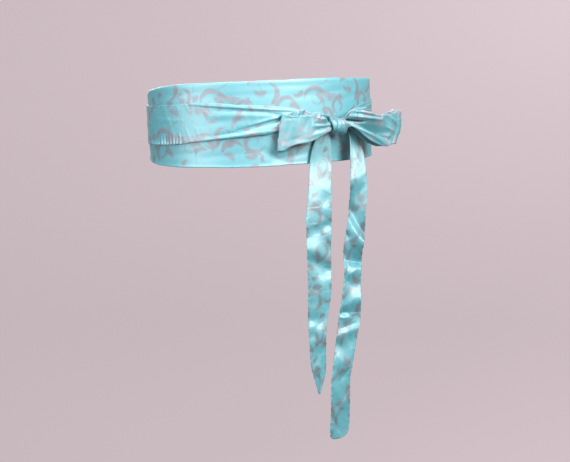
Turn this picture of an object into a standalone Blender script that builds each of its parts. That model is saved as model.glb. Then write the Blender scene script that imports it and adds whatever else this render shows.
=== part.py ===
"""A satin sash, worn: a waist panel, two ties crossed at the back, and a bow at the front.

Metres, +Z up. The origin is the middle of the waist ring, the front faces -Y, and left and right
are those of a person who looks at the front. Heights and angles in the tables of the panel and
the ties belong to the ring, which WEAR_TILT then turns a little, as the sash is worn. Those of
the bow, the knot and the tails are in the part's own frame.
"""
from collections import namedtuple
from math import cos, exp, hypot, pi, radians, sin

import bmesh
import bpy
from mathutils import Vector

# Driving sizes
WAIST_HALF_WIDTH = 0.137
WAIST_HALF_DEPTH = 0.099
WEAR_TILT = radians(2.3)
PANEL_WALL = 0.0018
TIE_WALL = 0.0012
SEAM_GAP = 0.0003
COLUMN_STEP = 4.0

# Distance of a wall's middle from the panel's outer face: level with the panel, or over it
UNDER = -PANEL_WALL / 2
OVER = SEAM_GAP + TIE_WALL / 2

# The waist panel: its lower and upper edge at each angle round the ring, with the front at 0
PanelSection = namedtuple("PanelSection", "angle low high")
PANEL = (
    PanelSection(-150, -0.0235, 0.0175),
    PanelSection(-130, -0.0310, 0.0290),
    PanelSection(-107, -0.0380, 0.0370),
    PanelSection(-88, -0.0424, 0.0418),
    PanelSection(-70, -0.0446, 0.0452),
    PanelSection(-50, -0.0456, 0.0467),
    PanelSection(-20, -0.0470, 0.0470),
    PanelSection(10, -0.0465, 0.0476),
    PanelSection(45, -0.0473, 0.0456),
    PanelSection(85, -0.0462, 0.0445),
    PanelSection(107, -0.0400, 0.0425),
    PanelSection(130, -0.0220, 0.0400),
    PanelSection(150, 0.0020, 0.0360),
)
PANEL_ROWS = 5

# Each tie: its edges, and how far the middle of its wall stands out from the panel's outer face
TieSection = namedtuple("TieSection", "angle low high lift")
TIE_LEFT = (
    TieSection(-209.8, 0.0020, 0.0360, UNDER),
    TieSection(-205, 0.0020, 0.0360, UNDER),
    TieSection(-197, 0.0015, 0.0350, OVER),
    TieSection(-180, -0.0040, 0.0320, OVER),
    TieSection(-165, -0.0100, 0.0290, OVER),
    TieSection(-150, -0.0160, 0.0270, OVER),
    TieSection(-125, -0.0205, 0.0245, OVER),
    TieSection(-86, -0.0203, 0.0232, OVER),
    TieSection(-70, -0.0200, 0.0238, OVER),
    TieSection(-54, -0.0176, 0.0252, 0.0010),
    TieSection(-42, -0.0152, 0.0242, 0.0014),
    TieSection(-31, -0.0134, 0.0218, 0.0020),
    TieSection(-20, -0.0118, 0.0200, 0.0026),
    TieSection(-11, -0.0086, 0.0179, 0.0031),
    TieSection(0, -0.0100, 0.0125, 0.0035),
    TieSection(8, -0.0125, 0.0050, 0.0038),
    TieSection(12.75, -0.0130, 0.0015, 0.0052),
)
TIE_RIGHT = (
    TieSection(19.6, -0.0120, 0.0020, 0.0098),
    TieSection(25.7, -0.0150, 0.0080, 0.0072),
    TieSection(29.7, -0.0165, 0.0110, 0.0054),
    TieSection(35, -0.0178, 0.0139, 0.0036),
    TieSection(44, -0.0190, 0.0174, 0.0018),
    TieSection(60, -0.0205, 0.0189, OVER),
    TieSection(90, -0.0222, 0.0205, OVER),
    TieSection(107, -0.0250, 0.0170, OVER),
    TieSection(130, -0.0320, 0.0060, OVER),
    TieSection(150, -0.0375, -0.0022, OVER),
    TieSection(158, -0.0380, -0.0028, OVER),
    TieSection(166, -0.0365, -0.0022, UNDER),
    TieSection(180, -0.0310, 0.0060, UNDER),
    TieSection(196, -0.0260, 0.0140, UNDER),
    TieSection(209.8, -0.0235, 0.0175, UNDER),
)
TIE_ROWS = 10

# Folds on a tie: a line from one end to the other, raised or sunk by its depth
Fold = namedtuple("Fold", "angle_a height_a angle_b height_b depth width")
LEFT_FOLDS = (
    Fold(-43, 0.0228, 0, 0.0112, 0.0010, 0.0016),
    Fold(-52, -0.0168, -4, -0.0066, 0.0010, 0.0026),
    Fold(-46, -0.0140, -24, -0.0058, -0.0009, 0.0022),
    Fold(-26, -0.0062, -2, 0.0085, -0.0026, 0.0024),
    Fold(-20, 0.0120, 8, 0.0020, 0.0012, 0.0030),
    Fold(-198, 0.0260, -152, 0.0160, 0.0010, 0.0030),
    Fold(-190, 0.0120, -140, -0.0020, 0.0009, 0.0028),
    Fold(-165, 0.0020, -118, -0.0120, 0.0008, 0.0024),
)
RIGHT_FOLDS = (
    Fold(60, 0.0160, 20, -0.0010, 0.0010, 0.0020),
    Fold(72, -0.0060, 24, -0.0065, -0.0016, 0.0026),
    Fold(156, -0.0120, 112, 0.0020, 0.0009, 0.0028),
    Fold(150, -0.0250, 100, -0.0120, 0.0008, 0.0026),
)

# Small upright gathers in the lower edge of the left tie, at the wearer's side
GATHER_COUNT = 11
GATHER_START = -84.5
GATHER_END = -58.0
GATHER_DEPTH = 0.00045
GATHER_TALL = 0.0095
GATHER_STEPS = 5

# The knot, a rounded wrap
KNOT_CENTRE = Vector((0.0397, -0.1085, -0.0040))
KNOT_HALF = Vector((0.0093, 0.0085, 0.0090))
KNOT_SQUARENESS = 3.0
KNOT_SIDES = 16
KNOT_RINGS = 10

# The bow's loops: the front and back layer at each reach from the knot's side
LoopSection = namedtuple("LoopSection", "reach front back low high back_low back_high")
LOOP_LEFT = (
    LoopSection(0.0000, -0.1120, -0.1066, -0.0090, 0.0035, -0.0085, 0.0040),
    LoopSection(0.0040, -0.1138, -0.1060, -0.0110, 0.0066, -0.0105, 0.0075),
    LoopSection(0.0130, -0.1158, -0.1058, -0.0141, 0.0085, -0.0140, 0.0107),
    LoopSection(0.0240, -0.1166, -0.1056, -0.0195, 0.0088, -0.0190, 0.0105),
    LoopSection(0.0350, -0.1166, -0.1054, -0.0228, 0.0075, -0.0235, 0.0138),
    LoopSection(0.0450, -0.1156, -0.1050, -0.0240, 0.0074, -0.0270, 0.0125),
    LoopSection(0.0540, -0.1145, -0.1048, -0.0270, 0.0066, -0.0310, 0.0100),
    LoopSection(0.0600, -0.1134, -0.1048, -0.0312, 0.0087, -0.0320, 0.0092),
)
LOOP_RIGHT = (
    LoopSection(0.0000, -0.1120, -0.1066, -0.0070, 0.0040, -0.0070, 0.0040),
    LoopSection(0.0040, -0.1142, -0.1062, -0.0055, 0.0105, -0.0050, 0.0090),
    LoopSection(0.0100, -0.1164, -0.1058, -0.0090, 0.0152, -0.0080, 0.0135),
    LoopSection(0.0180, -0.1180, -0.1054, -0.0155, 0.0160, -0.0150, 0.0145),
    LoopSection(0.0270, -0.1180, -0.1050, -0.0210, 0.0115, -0.0210, 0.0110),
    LoopSection(0.0360, -0.1172, -0.1044, -0.0245, 0.0080, -0.0250, 0.0080),
    LoopSection(0.0500, -0.1154, -0.1034, -0.0280, 0.0077, -0.0285, 0.0072),
    LoopSection(0.0600, -0.1136, -0.1026, -0.0284, 0.0082, -0.0285, 0.0095),
    LoopSection(0.0690, -0.1114, -0.1018, -0.0262, 0.0110, -0.0262, 0.0130),
)
# How far the round end goes past the last section, and how far its corners draw back from it
LoopEnd = namedtuple("LoopEnd", "reach low_setback high_setback")
LEFT_END = LoopEnd(0.0061, 0.0004, 0.0060)
RIGHT_END = LoopEnd(0.0090, 0.0110, 0.0040)
LOOP_STEP = 0.004
LOOP_END_STEPS = 6
LOOP_ROWS = 8
# A trough from the knot outward in a loop's front layer
Trough = namedtuple("Trough", "reach_a height_a reach_b height_b depth width")
LEFT_TROUGHS = (
    Trough(0.000, -0.0030, 0.030, 0.0015, -0.0016, 0.0022),
    Trough(0.003, -0.0075, 0.040, -0.0120, -0.0012, 0.0022),
)
RIGHT_TROUGHS = (
    Trough(0.002, 0.0030, 0.015, 0.0020, -0.0030, 0.0018),
    Trough(0.012, 0.0015, 0.042, -0.0115, -0.0032, 0.0030),
    Trough(0.006, 0.0090, 0.030, 0.0070, -0.0014, 0.0018),
)

# The hanging tails: edges and depth at each drop below the ring's middle, and how they turn
TailSection = namedtuple("TailSection", "drop left right depth turn")
TAIL_LEFT = (
    TailSection(0.0085, 0.0245, 0.0310, -0.1036, 0),
    TailSection(0.0150, 0.0175, 0.0326, -0.1038, 0),
    TailSection(0.0260, 0.0104, 0.0337, -0.1050, 0),
    TailSection(0.0445, 0.0048, 0.0326, -0.1079, 3),
    TailSection(0.0750, 0.0005, 0.0294, -0.1118, 6),
    TailSection(0.1100, -0.0044, 0.0282, -0.1158, 2),
    TailSection(0.1450, -0.0046, 0.0260, -0.1184, -6),
    TailSection(0.1800, -0.0044, 0.0256, -0.1204, 0),
    TailSection(0.2160, -0.0050, 0.0205, -0.1217, 6),
    TailSection(0.2350, -0.0039, 0.0178, -0.1220, 8),
    TailSection(0.2700, -0.0016, 0.0176, -0.1226, 2),
    TailSection(0.2800, 0.0009, 0.0170, -0.1227, 0),
    TailSection(0.2900, 0.0042, 0.0142, -0.1228, 0),
    TailSection(0.3030, 0.0081, 0.0099, -0.1230, 0),
)
TAIL_RIGHT = (
    TailSection(0.0010, 0.0489, 0.0512, -0.1044, 0),
    TailSection(0.0060, 0.0520, 0.0570, -0.1042, 0),
    TailSection(0.0156, 0.0572, 0.0650, -0.1044, 0),
    TailSection(0.0240, 0.0577, 0.0710, -0.1050, -4),
    TailSection(0.0400, 0.0567, 0.0758, -0.1072, -8),
    TailSection(0.0600, 0.0552, 0.0762, -0.1100, -4),
    TailSection(0.0800, 0.0540, 0.0758, -0.1123, 8),
    TailSection(0.1000, 0.0515, 0.0726, -0.1146, 12),
    TailSection(0.1200, 0.0466, 0.0714, -0.1168, 0),
    TailSection(0.1450, 0.0424, 0.0670, -0.1184, -8),
    TailSection(0.1700, 0.0430, 0.0644, -0.1198, -10),
    TailSection(0.2020, 0.0378, 0.0634, -0.1215, 2),
    TailSection(0.2200, 0.0344, 0.0630, -0.1218, 6),
    TailSection(0.2550, 0.0292, 0.0556, -0.1223, 4),
    TailSection(0.2900, 0.0243, 0.0490, -0.1229, -2),
    TailSection(0.3280, 0.0240, 0.0487, -0.1230, -4),
    TailSection(0.3450, 0.0230, 0.0478, -0.1230, -4),
    TailSection(0.3510, 0.0232, 0.0462, -0.1230, -3),
    TailSection(0.3555, 0.0246, 0.0420, -0.1230, -2),
    TailSection(0.3574, 0.0275, 0.0350, -0.1230, -2),
)
TAIL_STEP = 0.0065
TAIL_ROWS = 5
# Soft diagonal folds across a tail
Twist = namedtuple("Twist", "drop side_a side_b depth width")
LEFT_TWISTS = (
    Twist(0.062, 0.9, 0.3, -0.0014, 0.010),
    Twist(0.104, 0.1, 0.9, 0.0016, 0.011),
    Twist(0.150, 0.8, 0.2, -0.0013, 0.012),
    Twist(0.192, 0.2, 0.8, 0.0012, 0.011),
    Twist(0.240, 0.9, 0.2, 0.0012, 0.010),
)
RIGHT_TWISTS = (
    Twist(0.068, 0.1, 0.9, -0.0016, 0.009),
    Twist(0.104, 0.9, 0.1, 0.0022, 0.010),
    Twist(0.140, 0.2, 0.8, -0.0016, 0.011),
    Twist(0.178, 0.8, 0.2, 0.0018, 0.010),
    Twist(0.220, 0.2, 0.9, -0.0014, 0.010),
    Twist(0.262, 0.8, 0.1, 0.0013, 0.011),
    Twist(0.335, 0.1, 0.8, -0.0008, 0.008),
)

SATIN_COLOUR = (0.27, 0.74, 0.80, 1.0)
SATIN_ROUGHNESS = 0.36
SMOOTH_ANGLE = radians(40)


def slopes(stations, values):
    """Slopes of a smooth curve through the values that never swings past them."""
    steps = [(values[i + 1] - values[i]) / (stations[i + 1] - stations[i]) for i in range(len(values) - 1)]
    result = [steps[0]]
    for before, after in zip(steps, steps[1:]):
        same_way = before * after > 0
        result.append(2 * before * after / (before + after) if same_way else 0.0)
    result.append(steps[-1])
    return result


def read(table, station):
    """The table's row at any station, smooth between the rows that are given."""
    stations = [row[0] for row in table]
    station = min(max(station, stations[0]), stations[-1])
    k = max(i for i in range(len(table) - 1) if stations[i] <= station)
    gap = stations[k + 1] - stations[k]
    t = (station - stations[k]) / gap
    columns = [station]
    for column in range(1, len(table[0])):
        values = [row[column] for row in table]
        slope = slopes(stations, values)
        columns.append(
            values[k] * (1 + 2 * t) * (1 - t) ** 2
            + values[k + 1] * t * t * (3 - 2 * t)
            + gap * (slope[k] * t * (1 - t) ** 2 - slope[k + 1] * t * t * (1 - t))
        )
    return type(table[0])(*columns)


def on_ring(angle, height, lift):
    """A point that stands off the waist ring by the lift, turned as the sash is worn."""
    turn = radians(angle)
    face = Vector((WAIST_HALF_WIDTH * sin(turn), -WAIST_HALF_DEPTH * cos(turn), 0.0))
    outward = Vector((sin(turn) / WAIST_HALF_WIDTH, -cos(turn) / WAIST_HALF_DEPTH, 0.0)).normalized()
    x, y, _ = face + outward * lift
    return Vector((
        x * cos(WEAR_TILT) - height * sin(WEAR_TILT),
        y,
        x * sin(WEAR_TILT) + height * cos(WEAR_TILT),
    ))


def along_ring(angle):
    """Metres along the ring for one degree, near this angle."""
    turn = radians(angle)
    return hypot(WAIST_HALF_WIDTH * cos(turn), WAIST_HALF_DEPTH * sin(turn)) * radians(1)


def swell(x, z, start, end, depth, width):
    """Depth of a soft fold at a point, from the line that the fold follows."""
    run = Vector(end) - Vector(start)
    offset = Vector((x, z)) - Vector(start)
    share = min(max(offset.dot(run) / run.length_squared, 0.0), 1.0)
    fade = sin(pi * (0.15 + 0.7 * share))
    away = (offset - run * share).length
    return depth * fade * exp(-(away / width) ** 2)


def tie_fold(fold, angle, height):
    """How far a fold moves the tie's wall at one angle and height."""
    scale = along_ring(angle)
    start = (0.0, fold.height_a)
    end = ((fold.angle_b - fold.angle_a) * scale, fold.height_b)
    return swell((angle - fold.angle_a) * scale, height, start, end, fold.depth, fold.width)


def gather(angle, above_edge):
    """How far the small gathers move the wall, none away from the lower edge."""
    share = (angle - GATHER_START) / (GATHER_END - GATHER_START)
    if not 0 < share < 1:
        return 0.0
    fade = max(0.0, 1 - above_edge / GATHER_TALL) * min(1.0, 8 * share, 8 * (1 - share))
    return GATHER_DEPTH * fade * (1 - cos(2 * pi * GATHER_COUNT * share))


def ring_stations(first, last, fine=()):
    """Angles from first to last on the shared steps, closer together in the fine ranges."""
    marks = [first, last]
    step = COLUMN_STEP
    angle = step * round(first / step)
    while angle < last:
        if first < angle < last:
            marks.append(angle)
        angle += step
    for start, end, count in fine:
        marks += [start + (end - start) * i / count for i in range(count + 1)]
    marks = sorted(marks)
    apart = step / 16
    return [a for i, a in enumerate(marks) if i == 0 or a - marks[i - 1] > apart]


def material(name):
    """A plain satin for one piece."""
    made = bpy.data.materials.new(name + "_satin")
    made.use_nodes = True
    shader = made.node_tree.nodes["Principled BSDF"]
    shader.inputs["Base Color"].default_value = SATIN_COLOUR
    shader.inputs["Roughness"].default_value = SATIN_ROUGHNESS
    shader.inputs["Metallic"].default_value = 0.0
    return made


def finish(name, mesh_data, collection):
    """Turn a bmesh into a named object of the sash, with its own material."""
    mesh = bpy.data.meshes.new(name)
    mesh_data.to_mesh(mesh)
    mesh_data.free()
    mesh.shade_smooth()
    mesh.set_sharp_from_angle(angle=SMOOTH_ANGLE)
    piece = bpy.data.objects.new(name, mesh)
    piece.data.materials.append(material(name))
    collection.objects.link(piece)
    return piece


def cloth(name, stations, rows, place, wall, collection):
    """A strip of cloth: a grid whose columns stand at the stations, given its wall by Solidify."""
    mesh_data = bmesh.new()
    columns = len(stations) - 1
    bmesh.ops.create_grid(mesh_data, x_segments=columns, y_segments=rows, size=1.0)
    for vertex in mesh_data.verts:
        column = round((vertex.co.x + 1) / 2 * columns)
        vertex.co = place(stations[column], (vertex.co.y + 1) / 2)
    piece = finish(name, mesh_data, collection)
    solid = piece.modifiers.new("Wall", "SOLIDIFY")
    solid.thickness = wall
    solid.offset = 0.0
    return piece


def make_panel(collection):
    """The waist panel, open at the back, where its two ends pass into the ties."""
    def place(angle, up):
        section = read(PANEL, angle)
        return on_ring(angle, section.low + (section.high - section.low) * up, UNDER)

    stations = ring_stations(PANEL[0].angle, PANEL[-1].angle)
    return cloth("panel", stations, PANEL_ROWS, place, PANEL_WALL, collection)


def make_tie(name, sections, folds, gathered, fine, collection):
    """A tie, from its seam with the panel's end to the knot, or from the knot to its seam."""
    def place(angle, up):
        section = read(sections, angle)
        height = section.low + (section.high - section.low) * up
        bump = sum(tie_fold(fold, angle, height) for fold in folds)
        bump += gather(angle, height - section.low) if gathered else 0.0
        lift = section.lift + bump
        return on_ring(angle, height, max(lift, min(section.lift, OVER)))

    stations = ring_stations(sections[0].angle, sections[-1].angle, fine)
    return cloth(name, stations, TIE_ROWS, place, TIE_WALL, collection)


def make_knot(collection):
    """The knot: a ball drawn out to a rounded block, as a wrap of cloth pulled tight."""
    mesh_data = bmesh.new()
    bmesh.ops.create_uvsphere(mesh_data, u_segments=KNOT_SIDES, v_segments=KNOT_RINGS, radius=1.0)
    for vertex in mesh_data.verts:
        spread = sum(abs(part) ** KNOT_SQUARENESS for part in vertex.co) ** (1 / KNOT_SQUARENESS)
        shaped = vertex.co / spread
        vertex.co = KNOT_CENTRE + Vector([a * b for a, b in zip(shaped, KNOT_HALF)])
    return finish("knot", mesh_data, collection)


def make_loop(name, side, sections, end, troughs, collection):
    """A loop of the bow: out from the knot in front, round its end, and back behind."""
    root = KNOT_CENTRE.x + side * (KNOT_HALF.x + SEAM_GAP)
    length = sections[-1].reach
    full = length + end.reach
    outward = [i * LOOP_STEP for i in range(int(length / LOOP_STEP))] + [length]
    turns = [pi * i / LOOP_END_STEPS for i in range(1, LOOP_END_STEPS)]
    stations = [("front", reach) for reach in outward]
    stations += [("end", turn) for turn in turns]
    stations += [("back", reach) for reach in reversed(outward)]

    def place(station, up):
        layer, value = station
        reach = length + end.reach * sin(value) if layer == "end" else value
        section = read(sections, reach)
        share = (1 - cos(value)) / 2 if layer == "end" else float(layer == "back")
        low = section.low + (section.back_low - section.low) * share
        high = section.high + (section.back_high - section.high) * share
        depth = section.front + (section.back - section.front) * share
        height = low + (high - low) * up
        if layer == "front":
            for trough in troughs:
                start = (trough.reach_a, trough.height_a)
                finish_at = (trough.reach_b, trough.height_b)
                depth -= swell(reach, height, start, finish_at, trough.depth, trough.width)
        setback = end.low_setback * (1 - up) ** 2 + end.high_setback * up ** 2
        reach -= setback * (reach / full) ** 2
        return Vector((root + side * reach, depth, height))

    return cloth(name, stations, LOOP_ROWS, place, TIE_WALL, collection)


def make_tail(name, sections, twists, collection):
    """A hanging tail: a flat ribbon with soft diagonal folds."""
    first = sections[0].drop
    last = sections[-1].drop
    count = round((last - first) / TAIL_STEP)
    marks = [first + (last - first) * i / count for i in range(count + 1)]

    def place(drop, across):
        section = read(sections, drop)
        middle = (section.left + section.right) / 2
        sideways = (across - 0.5) * (section.right - section.left)
        bump = 0.0
        for twist in twists:
            centre = (twist.side_b - twist.side_a) * (across - 0.5) * 2 * twist.width
            bump += twist.depth * exp(-((drop - twist.drop - centre) / twist.width) ** 2)
        bump *= sin(pi * (0.2 + 0.6 * across))
        turn = radians(section.turn)
        return Vector((
            middle + sideways,
            section.depth - sideways * sin(turn) - bump,
            -drop,
        ))

    return cloth(name, marks, TAIL_ROWS, place, TIE_WALL, collection)


def main():
    for thing in list(bpy.data.objects):
        bpy.data.objects.remove(thing, do_unlink=True)
    collection = bpy.data.collections.new("satin_sash")
    bpy.context.scene.collection.children.link(collection)
    make_panel(collection)
    gathers = ((GATHER_START, GATHER_END, GATHER_COUNT * GATHER_STEPS),)
    front_left = ((-52, TIE_LEFT[-1].angle, 24),)
    front_right = ((TIE_RIGHT[0].angle, 60, 18),)
    make_tie("tie_left", TIE_LEFT, LEFT_FOLDS, True, gathers + front_left, collection)
    make_tie("tie_right", TIE_RIGHT, RIGHT_FOLDS, False, front_right, collection)
    make_knot(collection)
    make_loop("loop_left", -1, LOOP_LEFT, LEFT_END, LEFT_TROUGHS, collection)
    make_loop("loop_right", 1, LOOP_RIGHT, RIGHT_END, RIGHT_TROUGHS, collection)
    make_tail("tail_left", TAIL_LEFT, LEFT_TWISTS, collection)
    make_tail("tail_right", TAIL_RIGHT, RIGHT_TWISTS, collection)


main()
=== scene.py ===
# %% [markdown]
# A satin sash, tied in a bow
# The sash is a wide waist panel of stiffened satin. Two long ties are sewn on its ends, cross at
# the back, come round to the front and are tied in a bow with two hanging tails. This lesson
# dresses the construction model of the sash, which has the right size and place, in thin cloth
# with real folds, and gives it a printed satin finish.
# The frame is loaded first, and the size of each of its parts is printed.

# %% Load the frame
from collections import namedtuple
from math import cos, pi, radians, sin

import bpy
import numpy as np
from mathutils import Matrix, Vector


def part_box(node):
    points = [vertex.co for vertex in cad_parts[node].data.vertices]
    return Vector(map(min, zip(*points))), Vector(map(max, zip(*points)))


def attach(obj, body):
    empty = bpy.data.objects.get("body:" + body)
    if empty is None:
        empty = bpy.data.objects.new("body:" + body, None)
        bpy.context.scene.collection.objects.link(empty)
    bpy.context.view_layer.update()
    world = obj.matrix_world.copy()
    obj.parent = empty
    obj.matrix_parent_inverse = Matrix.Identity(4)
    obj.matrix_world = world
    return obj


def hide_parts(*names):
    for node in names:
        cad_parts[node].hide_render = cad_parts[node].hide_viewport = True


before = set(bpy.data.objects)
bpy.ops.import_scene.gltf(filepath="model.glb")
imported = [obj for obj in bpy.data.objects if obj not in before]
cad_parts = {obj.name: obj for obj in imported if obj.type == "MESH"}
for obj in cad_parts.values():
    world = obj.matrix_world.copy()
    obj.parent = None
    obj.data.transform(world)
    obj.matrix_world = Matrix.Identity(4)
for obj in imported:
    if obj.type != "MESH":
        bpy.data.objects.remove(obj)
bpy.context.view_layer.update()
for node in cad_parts:
    low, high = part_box(node)
    print(node, "is", [round(1000 * (high[i] - low[i])) for i in range(3)], "mm")

# %% [markdown]
# The camera
# The picture is taken from a little to the left of the front, at the height of the waist. A
# camera can be flown into place by hand, but one that is placed by its angles round the sash,
# its distance and the point that it aims at is easy to check and to move. A long lens keeps the
# far side of the ring from shrinking.

# %% Camera
CAMERA_AZIMUTH = radians(-27)
CAMERA_ELEVATION = radians(1.2)
CAMERA_DISTANCE = 1.5
CAMERA_AIM = Vector((0.0202, -0.0200, -0.1300))
CAMERA_LENS = 80.3


def direction(azimuth, elevation):
    """The unit vector away from the sash at these angles, 0 being its front."""
    return Vector((
        sin(azimuth) * cos(elevation),
        -cos(azimuth) * cos(elevation),
        sin(elevation),
    ))


camera = bpy.data.objects.new("camera", bpy.data.cameras.new("camera"))
bpy.context.scene.collection.objects.link(camera)
camera.location = direction(CAMERA_AZIMUTH, CAMERA_ELEVATION) * CAMERA_DISTANCE
camera.rotation_euler = (CAMERA_AIM - camera.location).to_track_quat("-Z", "Y").to_euler()
camera.data.lens = CAMERA_LENS
bpy.context.scene.camera = camera
print("camera at", [round(value, 3) for value in camera.location])

# %% [markdown]
# Smooth curves through short tables
# A worn sash has few straight lines, yet each edge needs only a handful of sizes: how wide the
# tie is at the side, at the front, at the knot. They are kept in tables with named columns. A
# Bezier curve could be drawn through them, but it swings past its points, and a layer that has
# to stay over another one would sink into it. The curve that is used here never goes past the
# rows of its table.

# %% Tables and smooth curves
TINY = 1e-12


def table(kind, *rows):
    """A table with named columns, from plain rows."""
    return tuple(kind(*row) for row in rows)


def read(sections, at):
    """Every column of a table at an array of stations, smooth between its rows."""
    rows = np.array(sections, dtype=float)
    at = np.clip(at, rows[0, 0], rows[-1, 0])
    k = np.clip(np.searchsorted(rows[:, 0], at, side="right") - 1, 0, len(rows) - 2)
    gap = np.diff(rows[:, 0])
    steps = np.diff(rows, axis=0) / gap[:, None]
    product = steps[:-1] * steps[1:]
    total = np.where(product > 0, steps[:-1] + steps[1:], 1.0)
    slope = np.vstack([steps[:1], np.where(product > 0, 2 * product / total, 0.0), steps[-1:]])
    t = ((at - rows[k, 0]) / gap[k])[..., None]
    reach = gap[k][..., None]
    values = (
        rows[k] * (1 + 2 * t) * (1 - t) ** 2
        + rows[k + 1] * t * t * (3 - 2 * t)
        + reach * (slope[k] * t * (1 - t) ** 2 - slope[k + 1] * t * t * (1 - t))
    )
    return type(sections[0])(*np.moveaxis(values, -1, 0))


Width = namedtuple("Width", "place wide")
widths = read(table(Width, (0, 10), (1, 10), (2, 20)), np.array([0.5, 1.5])).wide
print("between widths of 10, 10 and 20:", [round(float(value), 1) for value in widths])

# %% [markdown]
# The waist ring
# The ring of the sash is close to an ellipse, wider than deep. The panel and the ties lie on it
# like the layers of a rolled poster. A Shrinkwrap modifier could lay one over another, but it
# would press the folds flat. Here a point is given by its angle round the ring, its height, and
# its lift off the panel's outer face, so each layer knows its own place. The angle is 0 at the
# front and grows to the right. The whole ring is turned a little, because a sash is seldom worn
# level.

# %% Points on the ring
WAIST_HALF_WIDTH = 0.137
WAIST_HALF_DEPTH = 0.099
WEAR_TILT = radians(2.3)
PANEL_WALL = 0.0018
TIE_WALL = 0.0012
SEAM_GAP = 0.0003
UNDER = -PANEL_WALL / 2
OVER = SEAM_GAP + TIE_WALL / 2

ARC_END = 240
ARC_MARKS = 4801
ARC_ANGLES = np.linspace(-ARC_END, ARC_END, ARC_MARKS)
arc_steps = np.hypot(
    WAIST_HALF_WIDTH * np.cos(np.radians(ARC_ANGLES)),
    WAIST_HALF_DEPTH * np.sin(np.radians(ARC_ANGLES)),
) * radians(ARC_ANGLES[1] - ARC_ANGLES[0])
ARC_LENGTHS = np.cumsum(arc_steps)
ARC_LENGTHS -= np.interp(0, ARC_ANGLES, ARC_LENGTHS)


def arc(angle):
    """Metres along the ring from the front."""
    return np.interp(angle, ARC_ANGLES, ARC_LENGTHS)


def on_ring(angle, height, lift):
    """Points that stand off the ring by the lift, turned as the sash is worn."""
    turn = np.radians(angle)
    out_x = np.sin(turn) / WAIST_HALF_WIDTH
    out_y = -np.cos(turn) / WAIST_HALF_DEPTH
    size = np.hypot(out_x, out_y)
    x = WAIST_HALF_WIDTH * np.sin(turn) + out_x / size * lift
    y = -WAIST_HALF_DEPTH * np.cos(turn) + out_y / size * lift
    return np.stack([
        x * cos(WEAR_TILT) - height * sin(WEAR_TILT),
        y + 0 * height,
        x * sin(WEAR_TILT) + height * cos(WEAR_TILT),
    ], axis=-1)


print("round the waist:", round(1000 * float(arc(180) - arc(-180))), "mm")

# %% [markdown]
# Stations and rows
# A fold only bends softly if the mesh has enough points under it. A finely divided plane would
# have them everywhere. The pieces are made from a grid instead, whose stations along the strip
# are close where there are gathers and wide where it is plain, and whose rows across it crowd
# into the round edges.

# %% Spread the points
EDGE_ROUND = 0.0011
EDGE_ROWS = (0.0, 0.04, 0.15, 0.35, 0.65, 1.0)


def across_marks(width, count):
    """Shares across a strip, close together in its round edges."""
    edge = np.array(EDGE_ROWS) * EDGE_ROUND / width
    middle = np.linspace(edge[-1], 1 - edge[-1], count)[1:-1]
    return np.concatenate([edge, middle, 1 - edge[::-1]])


def along_marks(first, last, coarse, fine=()):
    """Stations along a strip with a coarse spacing, and finer in the ranges that are given."""
    marks = list(np.linspace(first, last, max(2, round((last - first) / coarse))))
    for start, end, spacing in fine:
        marks = [m for m in marks if not start - spacing / 2 < m < end + spacing / 2]
        marks += list(np.linspace(start, end, round((end - start) / spacing)))
    return np.array(sorted(marks))


print("a round edge of", round(1000 * EDGE_ROUND, 1), "mm takes", len(EDGE_ROWS), "rows")

# %% [markdown]
# A strip of cloth
# Each piece of the sash was cut as a strip, sewn to a second one and turned, so it is a very flat
# tube: two layers with a soft fold at each edge. A plane with a Solidify modifier would get
# square edges, so one function makes the real form. It takes a grid of points along and across
# the strip, moves them out and in by half the wall, and joins the two sheets at the rim, where
# the wall thins to nothing in a round edge. The turned seam inside makes the cloth slightly
# thicker just inside each edge. The strip also gets a flat map in metres, so that the print is
# laid on it as it was on the roll.

# %% Build a strip
SEAM_INSIDE = 0.0024
SEAM_RISE = 0.30


def half_wall(share, width, ends, wall):
    """Half the wall over the strip: round at the edges and ends, thicker over the seam."""
    to_edge = np.minimum(share, 1 - share) * width
    near = np.minimum(np.minimum(to_edge, ends) / EDGE_ROUND, 1.0)
    seam = 1 + SEAM_RISE * np.exp(-(to_edge / SEAM_INSIDE) ** 4)
    return wall / 2 * seam * np.sqrt(np.maximum(1 - (1 - near) ** 2, 0.0))


def quads(grid):
    """The faces between the points of a grid, four corners each."""
    corners = [grid[:-1, :-1], grid[1:, :-1], grid[1:, 1:], grid[:-1, 1:]]
    return np.stack(corners, axis=-1).reshape(-1, 4)


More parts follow.
